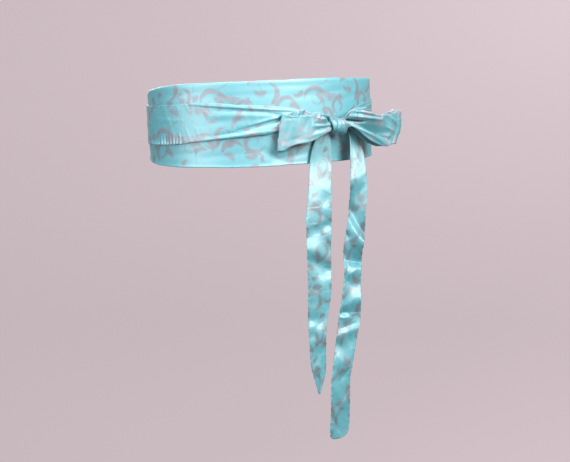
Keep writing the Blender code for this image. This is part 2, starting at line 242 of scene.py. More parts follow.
def cloth(name, middle, half, flat_map, outward=1, joined=None):
    """A closed thin shell from a grid of middle points, with its flat map in metres.

    A strip that is joined from two lengths has a seam at one row. The flat map is moved before
    it, so that the print doesn't run on over the seam."""
    along, across = middle.shape[:2]
    normal = np.cross(np.gradient(middle, axis=0), np.gradient(middle, axis=1)) * outward
    normal /= np.maximum(np.linalg.norm(normal, axis=2, keepdims=True), TINY)
    front = middle + normal * half[..., None]
    back = middle - normal * half[..., None]
    index = np.arange(along * across).reshape(along, across)
    inner = index.copy()
    inside = (along - 2) * (across - 2)
    inner[1:-1, 1:-1] = along * across + np.arange(inside).reshape(along - 2, across - 2)
    points = np.vstack([front.reshape(-1, 3), back[1:-1, 1:-1].reshape(-1, 3)])
    faces = np.vstack([quads(index)[:, ::outward], quads(inner)[:, ::-outward]])
    mesh = bpy.data.meshes.new(name)
    mesh.from_pydata(points.tolist(), [], faces.tolist())
    mesh.shade_smooth()
    places = np.vstack([flat_map.reshape(-1, 2), flat_map[1:-1, 1:-1].reshape(-1, 2)])
    corners = places[faces]
    if joined:
        row, shift = joined
        before = np.tile(np.arange(len(faces) // 2) // (across - 1) < row, 2)
        corners[before] += shift
    layer = mesh.uv_layers.new(name="cloth")
    layer.data.foreach_set("uv", corners.astype(np.float32).reshape(-1))
    piece = bpy.data.objects.new(name, mesh)
    bpy.context.scene.collection.objects.link(piece)
    print(name, "has", len(faces), "faces")
    return piece


def run_length(middle):
    """Metres along the middle of a strip, at each station."""
    line = middle[:, middle.shape[1] // 2]
    steps = np.linalg.norm(np.diff(line, axis=0), axis=1)
    return np.concatenate([[0.0], np.cumsum(steps)])


# %% [markdown]
# Folds and creases
# Satin creases where it is pulled: long soft ridges run from the knot, a deep crease forms where
# the tie narrows, and gathers stand at the seam. A cloth simulation folds cloth too, but seldom
# where this sash has its folds. So each fold is one row of a table: where its line starts and
# ends, how far it rises or sinks, how wide it is, and how sharp its crest. Near 2 it is a soft
# swell, near 1 a crisp crease.

# %% Raise a fold
CREST_SOFT = 0.08
FADE_START = 0.10
FADE_RUN = 0.80


def swell(x, z, start, end, depth, width, sharp=2.0, beyond=None):
    """How far one fold moves the points of a grid, from the line that it follows.

    The side of the line with the larger x may have a width of its own."""
    run_x = end[0] - start[0]
    run_z = end[1] - start[1]
    share = ((x - start[0]) * run_x + (z - start[1]) * run_z) / (run_x ** 2 + run_z ** 2)
    share = np.clip(share, 0.0, 1.0)
    away_x = x - start[0] - share * run_x
    away_z = z - start[1] - share * run_z
    wide = np.where(away_x > 0, beyond or width, width)
    away = np.sqrt(away_x ** 2 + away_z ** 2 + (CREST_SOFT * wide) ** 2) / wide
    return depth * np.sin(pi * (FADE_START + FADE_RUN * share)) * np.exp(-away ** sharp)


def sway(at, pitch, seed):
    """A slow uneven wave between -1 and 1, for edges that are never quite straight."""
    turn = 2 * pi * at / pitch
    return (np.sin(turn + seed) + 0.6 * np.sin(1.7 * turn + 2.1 * seed) + 0.4 * np.sin(2.9 * turn)) / 2


for sharp in (2.0, 1.0):
    heights = swell(np.array([0.0, 1.0, 2.0]), 0.0, (0, -5), (0, 5), 1.0, 2.0, sharp)
    print("a fold of sharpness", sharp, "at 0, 1 and 2 mm:", np.round(heights, 2))

# %% [markdown]
# The waist panel
# The panel is two layers of satin over a firm inner cloth, so it stays smooth: only shallow drag
# lines run round it, with a few soft dents where the bow presses and at the narrowed ends. A bent
# plate would do for its form, but not for its ends and its worn-in edge. It is built from its
# upper and lower edge at a few angles round the ring, the sizes that its maker marks on the
# pattern. At one place two lengths of the cloth are joined, with a shallow dent where the print
# is cut.

# %% The panel's edges, from the back on the left to the back on the right
PanelSection = namedtuple("PanelSection", "angle low high")
PANEL = table(
    PanelSection,
    (-150, -0.0235, 0.0175),
    (-130, -0.0310, 0.0290),
    (-107, -0.0380, 0.0370),
    (-88, -0.0424, 0.0418),
    (-70, -0.0446, 0.0452),
    (-50, -0.0456, 0.0467),
    (-20, -0.0470, 0.0470),
    (10, -0.0465, 0.0476),
    (45, -0.0473, 0.0456),
    (85, -0.0462, 0.0445),
    (107, -0.0400, 0.0425),
    (130, -0.0220, 0.0400),
    (150, 0.0020, 0.0360),
)
PANEL_CUT = 0.094
print("the panel covers", PANEL[-1].angle - PANEL[0].angle, "degrees of the ring")

# %% The panel's folds
Fold = namedtuple("Fold", "angle_a height_a angle_b height_b depth width sharp")
PANEL_FOLDS = table(
    Fold,
    (-84, 0.0335, -40, 0.0375, -0.0005, 0.0040, 2.0),
    (-58, 0.0300, -12, 0.0330, -0.0004, 0.0034, 2.0),
    (-30, 0.0410, 16, 0.0400, -0.0003, 0.0030, 2.0),
    (-6, 0.0280, 36, 0.0350, -0.0006, 0.0044, 2.0),
    (20, 0.0220, 58, 0.0330, -0.0005, 0.0036, 2.0),
    (-88, -0.0330, -52, -0.0290, -0.0004, 0.0034, 2.0),
    (-56, -0.0350, -22, -0.0300, -0.0005, 0.0040, 2.0),
    (-24, -0.0250, -8, -0.0440, -0.0010, 0.0050, 2.0),
    (-14, -0.0400, 6, -0.0330, -0.0007, 0.0036, 2.0),
    (12, -0.0220, 22, -0.0440, -0.0008, 0.0042, 2.0),
    (34, -0.0380, 66, -0.0300, -0.0005, 0.0038, 2.0),
    (76, 0.0330, 118, 0.0260, -0.0006, 0.0040, 2.0),
    (92, -0.0360, 128, -0.0120, -0.0006, 0.0040, 2.0),
    (104, 0.0100, 148, 0.0240, -0.0006, 0.0034, 1.8),
    (112, -0.0060, 149, 0.0140, -0.0007, 0.0030, 1.8),
    (-96, -0.0330, -132, -0.0240, -0.0006, 0.0038, 2.0),
    (-104, 0.0290, -146, 0.0100, -0.0006, 0.0034, 1.8),
)


def folds_on_ring(folds, angle, height):
    """All the folds of a strip on the ring, added up."""
    return sum(
        swell(
            arc(angle), height,
            (arc(fold.angle_a), fold.height_a), (arc(fold.angle_b), fold.height_b),
            fold.depth, fold.width, fold.sharp,
        )
        for fold in folds
    )


print("the panel has", len(PANEL_FOLDS), "soft folds")

# %% Make the panel
PANEL_THICK = 0.0015
PANEL_STEP = 0.8
PANEL_ROWS = 70
PANEL_WAVE = 0.00022
PANEL_WAVE_PITCH = 0.047
EDGE_BEND = 0.0009
EDGE_BEND_TALL = 0.0014
LOWER_BEND = 0.6
JOIN_ANGLE = -55.4
JOIN_DEPTH = 0.00020
JOIN_WIDTH = 0.0010
JOIN_SHIFT = (0.031, 0.047)
JOIN_RANGE = (JOIN_ANGLE - 2, JOIN_ANGLE + 2, 0.2)


def join_groove(angle):
    """The shallow dent of the seam that joins two lengths of the cloth."""
    return JOIN_DEPTH * np.exp(-np.abs(arc(angle) - arc(JOIN_ANGLE)) / JOIN_WIDTH)


def make_panel():
    marks = along_marks(PANEL[0].angle, PANEL[-1].angle, PANEL_STEP, (JOIN_RANGE,))
    shares = across_marks(PANEL_CUT, PANEL_ROWS)
    angle, share = np.meshgrid(marks, shares, indexing="ij")
    section = read(PANEL, angle)
    tall = section.high - section.low
    edge_wave = PANEL_WAVE * sway(arc(angle), PANEL_WAVE_PITCH, 1.0) * (2 * share - 1)
    height = section.low + tall * share + edge_wave
    lift = -PANEL_THICK / 2 + folds_on_ring(PANEL_FOLDS, angle, height) - join_groove(angle)
    lift -= EDGE_BEND * np.exp(-((section.high - height) / EDGE_BEND_TALL) ** 2)
    lift += LOWER_BEND * EDGE_BEND * np.exp(-((height - section.low) / EDGE_BEND_TALL) ** 2)
    middle = on_ring(angle, height, lift)
    ends = np.minimum(arc(angle) - arc(marks[0]), arc(marks[-1]) - arc(angle))
    half = half_wall(share, tall, ends, PANEL_THICK)
    flat_map = np.stack([arc(angle), height], axis=-1)
    joined = (np.searchsorted(marks, JOIN_ANGLE), JOIN_SHIFT)
    return cloth("panel_cloth", middle, half, flat_map, joined=joined)


panel = make_panel()

# %% [markdown]
# The ties
# A tie is soft double satin about 45 mm wide. The left one leaves the panel's far end at the
# back, crosses the other tie, passes over the panel's near end and comes round the side. There
# its lower edge is drawn up in a row of little gathers. Over the front it narrows to the knot, so
# the spare width folds under in one deep slanting crease with a roll below it. A tie could be
# laid as a flat strip and pulled tight by a simulation, but it has to pass over and under at
# known places. So its edges and its layer are a table, and its folds never sink into the panel.

# %% The edges of the ties, and the layer of the ring that each one lies on
TieSection = namedtuple("TieSection", "angle low high lift")
TIE_LEFT = table(
    TieSection,
    (-212.2, 0.0030, 0.0345, UNDER),
    (-209.8, 0.0021, 0.0359, UNDER),
    (-204, 0.0020, 0.0360, UNDER),
    (-198, 0.0016, 0.0351, OVER),
    (-180, -0.0040, 0.0320, OVER),
    (-165, -0.0100, 0.0290, OVER),
    (-150, -0.0160, 0.0270, OVER),
    (-125, -0.0205, 0.0245, OVER),
    (-86, -0.0203, 0.0232, OVER),
    (-70, -0.0200, 0.0238, OVER),
    (-54, -0.0176, 0.0252, 0.0010),
    (-42, -0.0152, 0.0242, 0.0014),
    (-31, -0.0134, 0.0218, 0.0020),
    (-20, -0.0118, 0.0200, 0.0026),
    (-11, -0.0086, 0.0179, 0.0031),
    (0, -0.0100, 0.0125, 0.0035),
    (8, -0.0125, 0.0050, 0.0038),
    (14.5, -0.0110, 0.0005, 0.0060),
)
TIE_RIGHT = table(
    TieSection,
    (18.2, -0.0095, 0.0005, 0.0108),
    (25.7, -0.0150, 0.0080, 0.0072),
    (29.7, -0.0165, 0.0110, 0.0054),
    (35, -0.0178, 0.0139, 0.0036),
    (44, -0.0190, 0.0174, 0.0018),
    (60, -0.0205, 0.0189, OVER),
    (90, -0.0222, 0.0205, OVER),
    (107, -0.0250, 0.0170, OVER),
    (130, -0.0320, 0.0070, OVER),
    (150, -0.0375, 0.0036, OVER),
    (153, -0.0379, 0.0030, OVER),
    (156, -0.0380, 0.0010, OVER),
    (162, -0.0373, 0.0006, UNDER),
    (165, -0.0366, 0.0030, UNDER),
    (180, -0.0310, 0.0080, UNDER),
    (196, -0.0260, 0.0140, UNDER),
    (209.8, -0.0234, 0.0174, UNDER),
    (212.2, -0.0228, 0.0166, UNDER),
)
TIE_CUT = 0.046
print("the ties run round", TIE_LEFT[-1].angle - TIE_LEFT[0].angle, "and",
      TIE_RIGHT[-1].angle - TIE_RIGHT[0].angle, "degrees")

# %% The folds of the ties
LEFT_FOLDS = table(
    Fold,
    (-57, 0.0240, -2, 0.0122, 0.0010, 0.0013, 2.0),
    (-52, 0.0198, -2, 0.0082, -0.0013, 0.0026, 2.0),
    (-60, -0.0165, -3, -0.0052, 0.0016, 0.0022, 1.8),
    (-46, -0.0120, -26, -0.0062, -0.0013, 0.0018, 1.4),
    (-32, -0.0070, 2, 0.0112, -0.0044, 0.0020, 1.3),
    (-26, -0.0012, -4, 0.0112, 0.0014, 0.0022, 1.9),
    (-20, -0.0064, 4, 0.0040, 0.0016, 0.0026, 1.9),
    (-44, 0.0110, -8, 0.0104, 0.0008, 0.0036, 2.0),
    (-66, 0.0030, -28, 0.0050, -0.0005, 0.0040, 2.0),
    (-72, 0.0140, -48, 0.0110, -0.0004, 0.0034, 2.0),
    (-84, 0.0080, -62, 0.0060, 0.0004, 0.0034, 2.0),
    (-16, 0.0130, 10, 0.0010, 0.0010, 0.0020, 1.8),
    (-14, 0.0080, 12, -0.0030, -0.0014, 0.0018, 1.5),
    (-198, 0.0280, -150, 0.0180, 0.0012, 0.0026, 1.8),
    (-196, 0.0200, -146, 0.0090, -0.0008, 0.0020, 1.6),
    (-192, 0.0140, -138, -0.0010, 0.0012, 0.0026, 1.8),
    (-186, 0.0060, -132, -0.0090, 0.0008, 0.0022, 1.7),
    (-168, 0.0000, -116, -0.0130, 0.0010, 0.0024, 1.8),
    (-150, 0.0230, -104, 0.0180, 0.0007, 0.0026, 2.0),
    (-128, 0.0080, -92, 0.0020, 0.0006, 0.0030, 2.0),
)
RIGHT_FOLDS = table(
    Fold,
    (64, 0.0165, 20, 0.0000, 0.0010, 0.0018, 1.8),
    (58, 0.0100, 22, -0.0030, -0.0012, 0.0020, 1.6),
    (72, -0.0060, 24, -0.0065, -0.0018, 0.0022, 1.6),
    (66, -0.0150, 22, -0.0105, 0.0012, 0.0024, 1.8),
    (112, 0.0120, 66, 0.0150, 0.0006, 0.0028, 2.0),
    (104, -0.0160, 62, -0.0120, 0.0006, 0.0028, 2.0),
    (157, -0.0090, 108, 0.0080, 0.0010, 0.0026, 1.8),
    (155, -0.0150, 104, -0.0010, -0.0006, 0.0022, 1.7),
    (158, -0.0220, 100, -0.0100, 0.0011, 0.0026, 1.8),
    (156, -0.0310, 112, -0.0210, 0.0008, 0.0022, 1.8),
)
print("the ties have", len(LEFT_FOLDS), "and", len(RIGHT_FOLDS), "folds")

# %% The little gathers
GATHER_COUNT = 13
GATHER_START = -94.0
GATHER_END = -59.0
GATHER_DEPTH = 0.00080
GATHER_TALL = 0.0125
GATHER_LEAN = 14.0


def gathers(angle, above_edge):
    """The row of little gathers, uneven in depth, spacing and height by a few slow waves."""
    share = (angle - GATHER_START) / (GATHER_END - GATHER_START)
    inside = (share > 0) & (share < 1)
    phase = GATHER_COUNT * share + 0.22 * np.sin(9.0 * share) + 0.12 * np.sin(23.0 * share)
    uneven = 0.78 + 0.22 * np.sin(17.0 * share + 0.6)
    tall = GATHER_TALL * (0.85 + 0.25 * np.sin(2 * pi * phase / 2.7))
    fade = np.clip(1 - above_edge / tall, 0, 1) * np.clip(np.minimum(9 * share, 6 * (1 - share)), 0, 1)
    lean = phase + GATHER_LEAN * above_edge
    return np.where(inside, GATHER_DEPTH * uneven * fade * (1 - np.cos(2 * pi * lean)), 0.0)


tallest = gathers(np.linspace(GATHER_START, GATHER_END, 400), 0.0).max()
print(GATHER_COUNT, "gathers stand up to", round(1000 * float(tallest), 1), "mm proud")

# %% Make the ties
TIE_THICK = 0.0010
TIE_STEP = 0.8
TIE_ROWS = 54
TIE_WAVE = 0.0003
TIE_WAVE_PITCH = 0.023
TIE_SWELL = 0.00018
TIE_SWELL_PITCH = 0.017
TIE_SWELL_LEAN = 0.4
PRESSED_EDGE = 0.0035
PRESSED_SHARE = 0.45
PRESSED_FROM = -120
PRESSED_FADE = 2


def make_tie(name, sections, folds, marks, gathered, seed):
    """A tie. The left one is gathered, joined at the seam and pressed thin along its upper edge."""
    shares = across_marks(TIE_CUT, TIE_ROWS)
    angle, share = np.meshgrid(marks, shares, indexing="ij")
    section = read(sections, angle)
    tall = section.high - section.low
    edge_wave = TIE_WAVE * sway(arc(angle), TIE_WAVE_PITCH, seed) * (2 * share - 1)
    height = section.low + tall * share + edge_wave
    bump = folds_on_ring(folds, angle, height)
    outside = section.lift > OVER - TINY
    slanting = arc(angle) + TIE_SWELL_LEAN * height
    bump += TIE_SWELL * sway(slanting, TIE_SWELL_PITCH, seed + 1) * outside
    wall = TIE_THICK
    joined = None
    if gathered:
        bump += gathers(angle, height - section.low) - join_groove(angle)
        pressed = 1 / (1 + np.exp((angle - JOIN_ANGLE) / PRESSED_FADE)) * (angle > PRESSED_FROM)
        near_top = np.exp(-((section.high - height) / PRESSED_EDGE) ** 2)
        wall = TIE_THICK * (1 - PRESSED_SHARE * pressed * near_top)
        joined = (np.searchsorted(marks, JOIN_ANGLE), JOIN_SHIFT)
    floor = np.minimum(section.lift, OVER)
    middle = on_ring(angle, height, np.maximum(section.lift + bump, floor))
    ends = np.minimum(arc(angle) - arc(marks[0]), arc(marks[-1]) - arc(angle))
    half = half_wall(share, tall, ends, wall)
    flat_map = np.stack([arc(angle), TIE_CUT * share], axis=-1)
    return cloth(name, middle, half, flat_map, joined=joined)


left_marks = along_marks(TIE_LEFT[0].angle, TIE_LEFT[-1].angle, TIE_STEP, (
    (GATHER_START - 1, GATHER_END, 0.24),
    (GATHER_END, -52, 0.22),
    (-52, TIE_LEFT[-1].angle, 0.40),
))
right_marks = along_marks(TIE_RIGHT[0].angle, TIE_RIGHT[-1].angle, TIE_STEP, (
    (TIE_RIGHT[0].angle, 70, 0.42),
))
tie_left = make_tie("tie_left_cloth", TIE_LEFT, LEFT_FOLDS, left_marks, True, 0.7)
tie_right = make_tie("tie_right_cloth", TIE_RIGHT, RIGHT_FOLDS, right_marks, False, 2.3)

# %% [markdown]
# The loops of the bow
# Each loop is the tie itself, led out from the knot, round in a soft bend and back behind. A bent
# plate would look stiff, so a loop is drawn by a table of its two layers and their edges, at a
# few distances from the knot. That gives the hollow form. The pull of the knot gathers the cloth
# into pleats that fan out and fade, deepest on the right loop, which is creased into a bright
# upper roll over a dark trough.

# %% The plan and the edges of the loops
LoopSection = namedtuple("LoopSection", "reach front back low high back_low back_high")
LOOP_LEFT = table(
    LoopSection,
    (-0.0040, -0.1105, -0.1080, -0.0070, 0.0010, -0.0070, 0.0010),
    (0.0000, -0.1118, -0.1063, -0.0090, 0.0035, -0.0085, 0.0040),
    (0.0040, -0.1134, -0.1054, -0.0110, 0.0066, -0.0105, 0.0075),
    (0.0125, -0.1150, -0.1047, -0.0141, 0.0085, -0.0140, 0.0107),
    (0.0233, -0.1152, -0.1042, -0.0195, 0.0088, -0.0190, 0.0105),
    (0.0340, -0.1145, -0.1039, -0.0228, 0.0075, -0.0235, 0.0138),
    (0.0436, -0.1128, -0.1036, -0.0240, 0.0074, -0.0270, 0.0125),
    (0.0523, -0.1103, -0.1033, -0.0270, 0.0066, -0.0310, 0.0100),
    (0.0583, -0.1079, -0.1030, -0.0312, 0.0087, -0.0320, 0.0092),
)
LOOP_RIGHT = table(
    LoopSection,
    (-0.0040, -0.1105, -0.1080, -0.0060, 0.0010, -0.0060, 0.0010),
    (0.0000, -0.1120, -0.1066, -0.0070, 0.0040, -0.0070, 0.0040),
    (0.0040, -0.1142, -0.1062, -0.0055, 0.0105, -0.0050, 0.0090),
    (0.0100, -0.1184, -0.1058, -0.0090, 0.0152, -0.0080, 0.0135),
    (0.0180, -0.1208, -0.1054, -0.0155, 0.0160, -0.0150, 0.0145),
    (0.0270, -0.1210, -0.1050, -0.0210, 0.0115, -0.0210, 0.0110),
    (0.0360, -0.1198, -0.1044, -0.0245, 0.0080, -0.0250, 0.0080),
    (0.0500, -0.1170, -0.1034, -0.0280, 0.0077, -0.0285, 0.0072),
    (0.0600, -0.1144, -0.1026, -0.0284, 0.0082, -0.0285, 0.0095),
    (0.0690, -0.1114, -0.1018, -0.0262, 0.0110, -0.0262, 0.0130),
)
LoopEnd = namedtuple("LoopEnd", "reach low_setback high_setback")
LEFT_END = LoopEnd(0.0061, 0.0004, 0.0060)
RIGHT_END = LoopEnd(0.0090, 0.0110, 0.0040)
print("the loops reach", LOOP_LEFT[-1].reach + LEFT_END.reach, "and",
      LOOP_RIGHT[-1].reach + RIGHT_END.reach, "m from the knot")

# %% The pleats of the loops
# Each lies on layer 0, the front one, or 1, the back one, between two distances from the knot.
# One that falls away slowly on its upper side has a width of its own above its line
Pleat = namedtuple(
    "Pleat", "layer reach_a height_a reach_b height_b depth width sharp above", defaults=(None,),
)
LEFT_PLEATS = table(
    Pleat,
    (0, -0.003, 0.0005, 0.022, 0.0052, 0.0016, 0.0017, 1.7),
    (0, 0.002, -0.0026, 0.022, -0.0008, -0.0022, 0.0016, 1.4),
    (0, -0.001, -0.0030, 0.025, -0.0040, 0.0014, 0.0018, 1.7),
    (0, 0.000, -0.0048, 0.022, -0.0086, -0.0021, 0.0017, 1.4),
    (0, 0.001, -0.0070, 0.030, -0.0160, 0.0009, 0.0026, 1.9),
    (0, 0.001, 0.0028, 0.014, 0.0072, -0.0018, 0.0013, 1.4),
    (0, -0.001, 0.0016, 0.007, 0.0024, -0.0095, 0.0022, 1.9),
    (0, 0.012, 0.0080, 0.018, 0.0030, -0.0008, 0.0016, 1.7),
    (0, 0.020, 0.0082, 0.024, 0.0020, -0.0007, 0.0020, 1.8),
    (0, 0.032, 0.0064, 0.036, -0.0100, -0.0008, 0.0034, 2.0),
    (0, 0.025, 0.0040, 0.030, -0.0150, 0.0008, 0.0034, 2.0),
    (0, 0.044, 0.0070, 0.048, -0.0180, 0.0008, 0.0040, 2.0),
    (0, 0.052, 0.0050, 0.057, -0.0200, -0.0010, 0.0026, 1.9),
    (0, 0.034, -0.0210, 0.058, -0.0265, 0.0006, 0.0024, 1.9),
    (0, 0.040, -0.0165, 0.060, -0.0215, -0.0004, 0.0024, 1.8),
    (0, 0.045, 0.0050, 0.059, 0.0042, -0.0008, 0.0016, 1.5),
    (1, 0.000, 0.0000, 0.034, 0.0040, -0.0016, 0.0022, 1.6),
    (1, 0.000, -0.0040, 0.040, -0.0120, 0.0012, 0.0026, 1.8),
    (1, 0.004, -0.0070, 0.044, -0.0200, -0.0012, 0.0022, 1.6),
    (1, 0.030, 0.0130, 0.034, 0.0040, 0.0016, 0.0018, 1.5),
    (1, 0.040, 0.0125, 0.042, 0.0040, -0.0020, 0.0020, 1.5),
    (1, 0.048, 0.0110, 0.050, 0.0040, 0.0014, 0.0018, 1.5),
)
RIGHT_PLEATS = table(
    Pleat,
    (0, -0.002, 0.0024, 0.022, 0.0006, -0.0095, 0.0014, 1.7),
    (0, 0.009, -0.0018, 0.058, -0.0208, -0.0132, 0.0022, 1.3, 0.0092),
    (0, 0.002, 0.0066, 0.044, 0.0020, 0.0026, 0.0018, 1.7),
    (0, 0.012, 0.0098, 0.042, 0.0046, -0.0021, 0.0012, 1.3),
    (0, 0.006, 0.0118, 0.030, 0.0082, 0.0012, 0.0014, 1.7),
    (0, 0.018, 0.0130, 0.046, 0.0066, -0.0013, 0.0012, 1.3),
    (0, -0.002, -0.0012, 0.054, -0.0262, 0.0026, 0.0022, 1.6),
    (0, 0.040, -0.0150, 0.062, -0.0175, 0.0014, 0.0026, 1.7),
    (0, 0.052, -0.0060, 0.066, -0.0120, 0.0012, 0.0018, 1.5),
    (0, 0.058, 0.0060, 0.068, -0.0040, 0.0022, 0.0024, 1.7),
    (0, 0.050, 0.0065, 0.056, -0.0020, -0.0012, 0.0018, 1.5),
    (1, 0.000, 0.0010, 0.040, -0.0040, -0.0016, 0.0026, 1.7),
    (1, 0.004, 0.0060, 0.046, 0.0020, 0.0014, 0.0026, 1.8),
    (1, 0.010, -0.0090, 0.054, -0.0180, -0.0014, 0.0026, 1.7),
    (1, 0.000, -0.0040, 0.050, -0.0110, 0.0012, 0.0020, 1.6),
    (1, 0.054, 0.0120, 0.058, 0.0020, -0.0014, 0.0018, 1.5),
    (1, 0.062, 0.0130, 0.066, 0.0020, 0.0014, 0.0018, 1.5),
)
print("the loops have", len(LEFT_PLEATS), "and", len(RIGHT_PLEATS), "pleats")

# %% Make the loops
KNOT_CENTRE = Vector((0.0397, -0.1085, -0.0040))
KNOT_HALF_WIDTH = 0.0093
LOOP_THICK = 0.0009
LOOP_STEP = 0.0006
LOOP_ROWS = 60
LOOP_END_STEPS = 26
LOOP_WAVE = 0.0006
LOOP_WAVE_PITCH = 0.0072
LOWER_WAVE = 0.35
WAVE_FROM_KNOT = 0.02
PLEAT_FADE = 1.6
END_WAVE = 0.0007
END_WAVE_PITCH = 0.021


def make_loop(name, side, sections, end, pleats, seed):
    """A loop on one side of the knot: out in front, round the end and back behind."""
    root = KNOT_CENTRE.x + side * (KNOT_HALF_WIDTH + SEAM_GAP)
    first = sections[0].reach
    length = sections[-1].reach
    full = length + end.reach
    outward = np.linspace(first, length, round((length - first) / LOOP_STEP))
    turns = np.linspace(0, pi, LOOP_END_STEPS)[1:-1]
    reach = np.concatenate([outward, length + end.reach * np.sin(turns), outward[::-1]])
    layer = np.concatenate([0 * outward, (1 - np.cos(turns)) / 2, 0 * outward + 1])
    shares = across_marks(TIE_CUT, LOOP_ROWS)
    reach, share = np.meshgrid(reach, shares, indexing="ij")
    layer = layer[:, None] + 0 * reach
    section = read(sections, reach)
    low = section.low + (section.back_low - section.low) * layer
    high = section.high + (section.back_high - section.high) * layer
    tall = high - low
    distance = np.arange(len(reach))[:, None] * LOOP_STEP
    settled = np.clip(reach / WAVE_FROM_KNOT, 0, 1)
    edge_wave = LOOP_WAVE * settled * sway(distance, LOOP_WAVE_PITCH, seed) * (2 * share - 1) ** 3
    edge_wave = edge_wave * np.where(share > 0.5, 1, LOWER_WAVE)
    height = low + tall * share + edge_wave
    depth = section.front + (section.back - section.front) * layer
    for pleat in pleats:
        near = np.clip(1 - PLEAT_FADE * np.abs(layer - pleat.layer), 0, 1)
        inward = 1 if pleat.layer == 0 else -1
        depth = depth - inward * near * swell(
            reach, height, (pleat.reach_a, pleat.height_a), (pleat.reach_b, pleat.height_b),
            pleat.depth, pleat.width, pleat.sharp, pleat.above,
        )
    setback = end.low_setback * (1 - share) ** 2 + end.high_setback * share ** 2
    bend = END_WAVE * sway(height, END_WAVE_PITCH, seed + 2) * np.clip(reach / full, 0, 1) ** 4
    out = reach - setback * (reach / full) ** 2 * np.sign(reach) + bend
    middle = np.stack([root + side * out, depth, height], axis=-1)
    ends = np.minimum(distance, distance[::-1])
    half = half_wall(share, tall, ends, LOOP_THICK)
    flat_map = np.stack([run_length(middle)[:, None] + 0 * share, TIE_CUT * share], axis=-1)
    return cloth(name, middle, half, flat_map, outward=side)


loop_left = make_loop("loop_left_cloth", -1, LOOP_LEFT, LEFT_END, LEFT_PLEATS, 0.4)
loop_right = make_loop("loop_right_cloth", 1, LOOP_RIGHT, RIGHT_END, RIGHT_PLEATS, 1.9)

# %% [markdown]
# The knot
# The knot is one turn of the tie, pulled tight round the roots of the loops. A squashed ball
# would show no wrap, so it is made as it is tied: a strip led once round, its width gathered
# into lengthwise pleats, its edges curled in, and its end tucked behind. It leans over, and it
# is longer at the lower right.

# %% The pleats of the knot, by their place across the wrap and how they slant
Groove = namedtuple("Groove", "place slant depth width")
GROOVES = table(
    Groove,
    (-0.44, 0.26, 0.0016, 0.10),
    (0.24, 0.14, 0.0006, 0.14),
    (0.66, -0.06, 0.0013, 0.09),
)
print("the knot has", len(GROOVES), "pleats")

# %% Make the knot
KNOT_CUT = 0.024
KNOT_THICK = 0.0011
KNOT_START = radians(-185)
KNOT_END = radians(190)
KNOT_STEPS = 170
KNOT_ROWS = 50
KNOT_LEAN = radians(-13)
KNOT_SHIFT = -0.0008
KNOT_WIDE = 0.0100
KNOT_DEEP = 0.0088
KNOT_ABOVE = 0.0082
KNOT_BELOW = 0.0092
ABOVE_FALL = 0.16
BELOW_GROWTH = 0.48
UNDER_NARROW = 0.30
EDGE_CURL = 0.24
SIDE_TAPER = 0.04
SQUARENESS = 2.4
TUCK_DEPTH = 0.0007
TUCK_FROM = 0.75
DENT_DEPTH = 0.0008
DENT_PLACE = radians(70)


def make_knot():
    """The wrap, made upright round the X axis and then leaned over."""
    turn = np.linspace(KNOT_START, KNOT_END, KNOT_STEPS)
    shares = across_marks(KNOT_CUT, KNOT_ROWS)
    turn, share = np.meshgrid(turn, shares, indexing="ij")
    side = 2 * share - 1
    curl = 1 - EDGE_CURL * np.abs(side) ** 5 - SIDE_TAPER * side
    spread = (
        np.abs(np.cos(turn)) ** SQUARENESS + np.abs(np.sin(turn)) ** SQUARENESS
    ) ** (-1 / SQUARENESS)
    tuck = TUCK_DEPTH * np.clip(np.abs(turn) / pi - TUCK_FROM, 0, 1) * np.sign(turn)
    groove = tuck - DENT_DEPTH * np.clip(np.cos(turn - DENT_PLACE), 0, 1) ** 6
    for row in GROOVES:
        line = row.place + row.slant * np.sin(turn)
        groove = groove - row.depth * np.exp(-(np.abs(side - line) / row.width) ** 1.5)
    size = curl * spread
    deep = (KNOT_DEEP * size + groove) * np.cos(turn)
    above = KNOT_ABOVE * (1 - ABOVE_FALL * side)
    below = KNOT_BELOW * (1 + BELOW_GROWTH * side)
    tall = np.where(np.sin(turn) > 0, above, below)
    rise = (tall * size + groove) * np.sin(turn)
    under = np.clip(-np.sin(turn), 0, 1) ** 2
    narrow = 1 - UNDER_NARROW * under * np.clip(side, 0, 1)
    wide = KNOT_WIDE * (1.02 * side - 0.10 * side ** 3) * narrow
    middle = np.stack([
        KNOT_CENTRE.x + KNOT_SHIFT + wide * cos(KNOT_LEAN) + rise * sin(KNOT_LEAN),
        KNOT_CENTRE.y - deep,
        KNOT_CENTRE.z + rise * cos(KNOT_LEAN) - wide * sin(KNOT_LEAN),
    ], axis=-1)
    run = run_length(middle)
    ends = np.minimum(run, run[-1] - run)[:, None]
    half = half_wall(share, KNOT_CUT, ends, KNOT_THICK)
    flat_map = np.stack([run[:, None] + 0 * share, TIE_CUT * share], axis=-1)
    return cloth("knot_cloth", middle, half, flat_map, outward=-1)


knot = make_knot()

# %% [markdown]
# The tails
# The two free ends hang down in front, the left one cut to a point and the right one blunt.
# Satin that has just come out of a knot keeps its twist, so the flat ribbon turns slowly from one
# side to the other, and crisp slanting folds break the light into bright and dark facets. The
# right one hangs in a slow zigzag, whose bends slant. The sewn edges pucker a little. Gravity in
# a simulation would smooth much of this away, so the outline, the turns and the folds are tables.

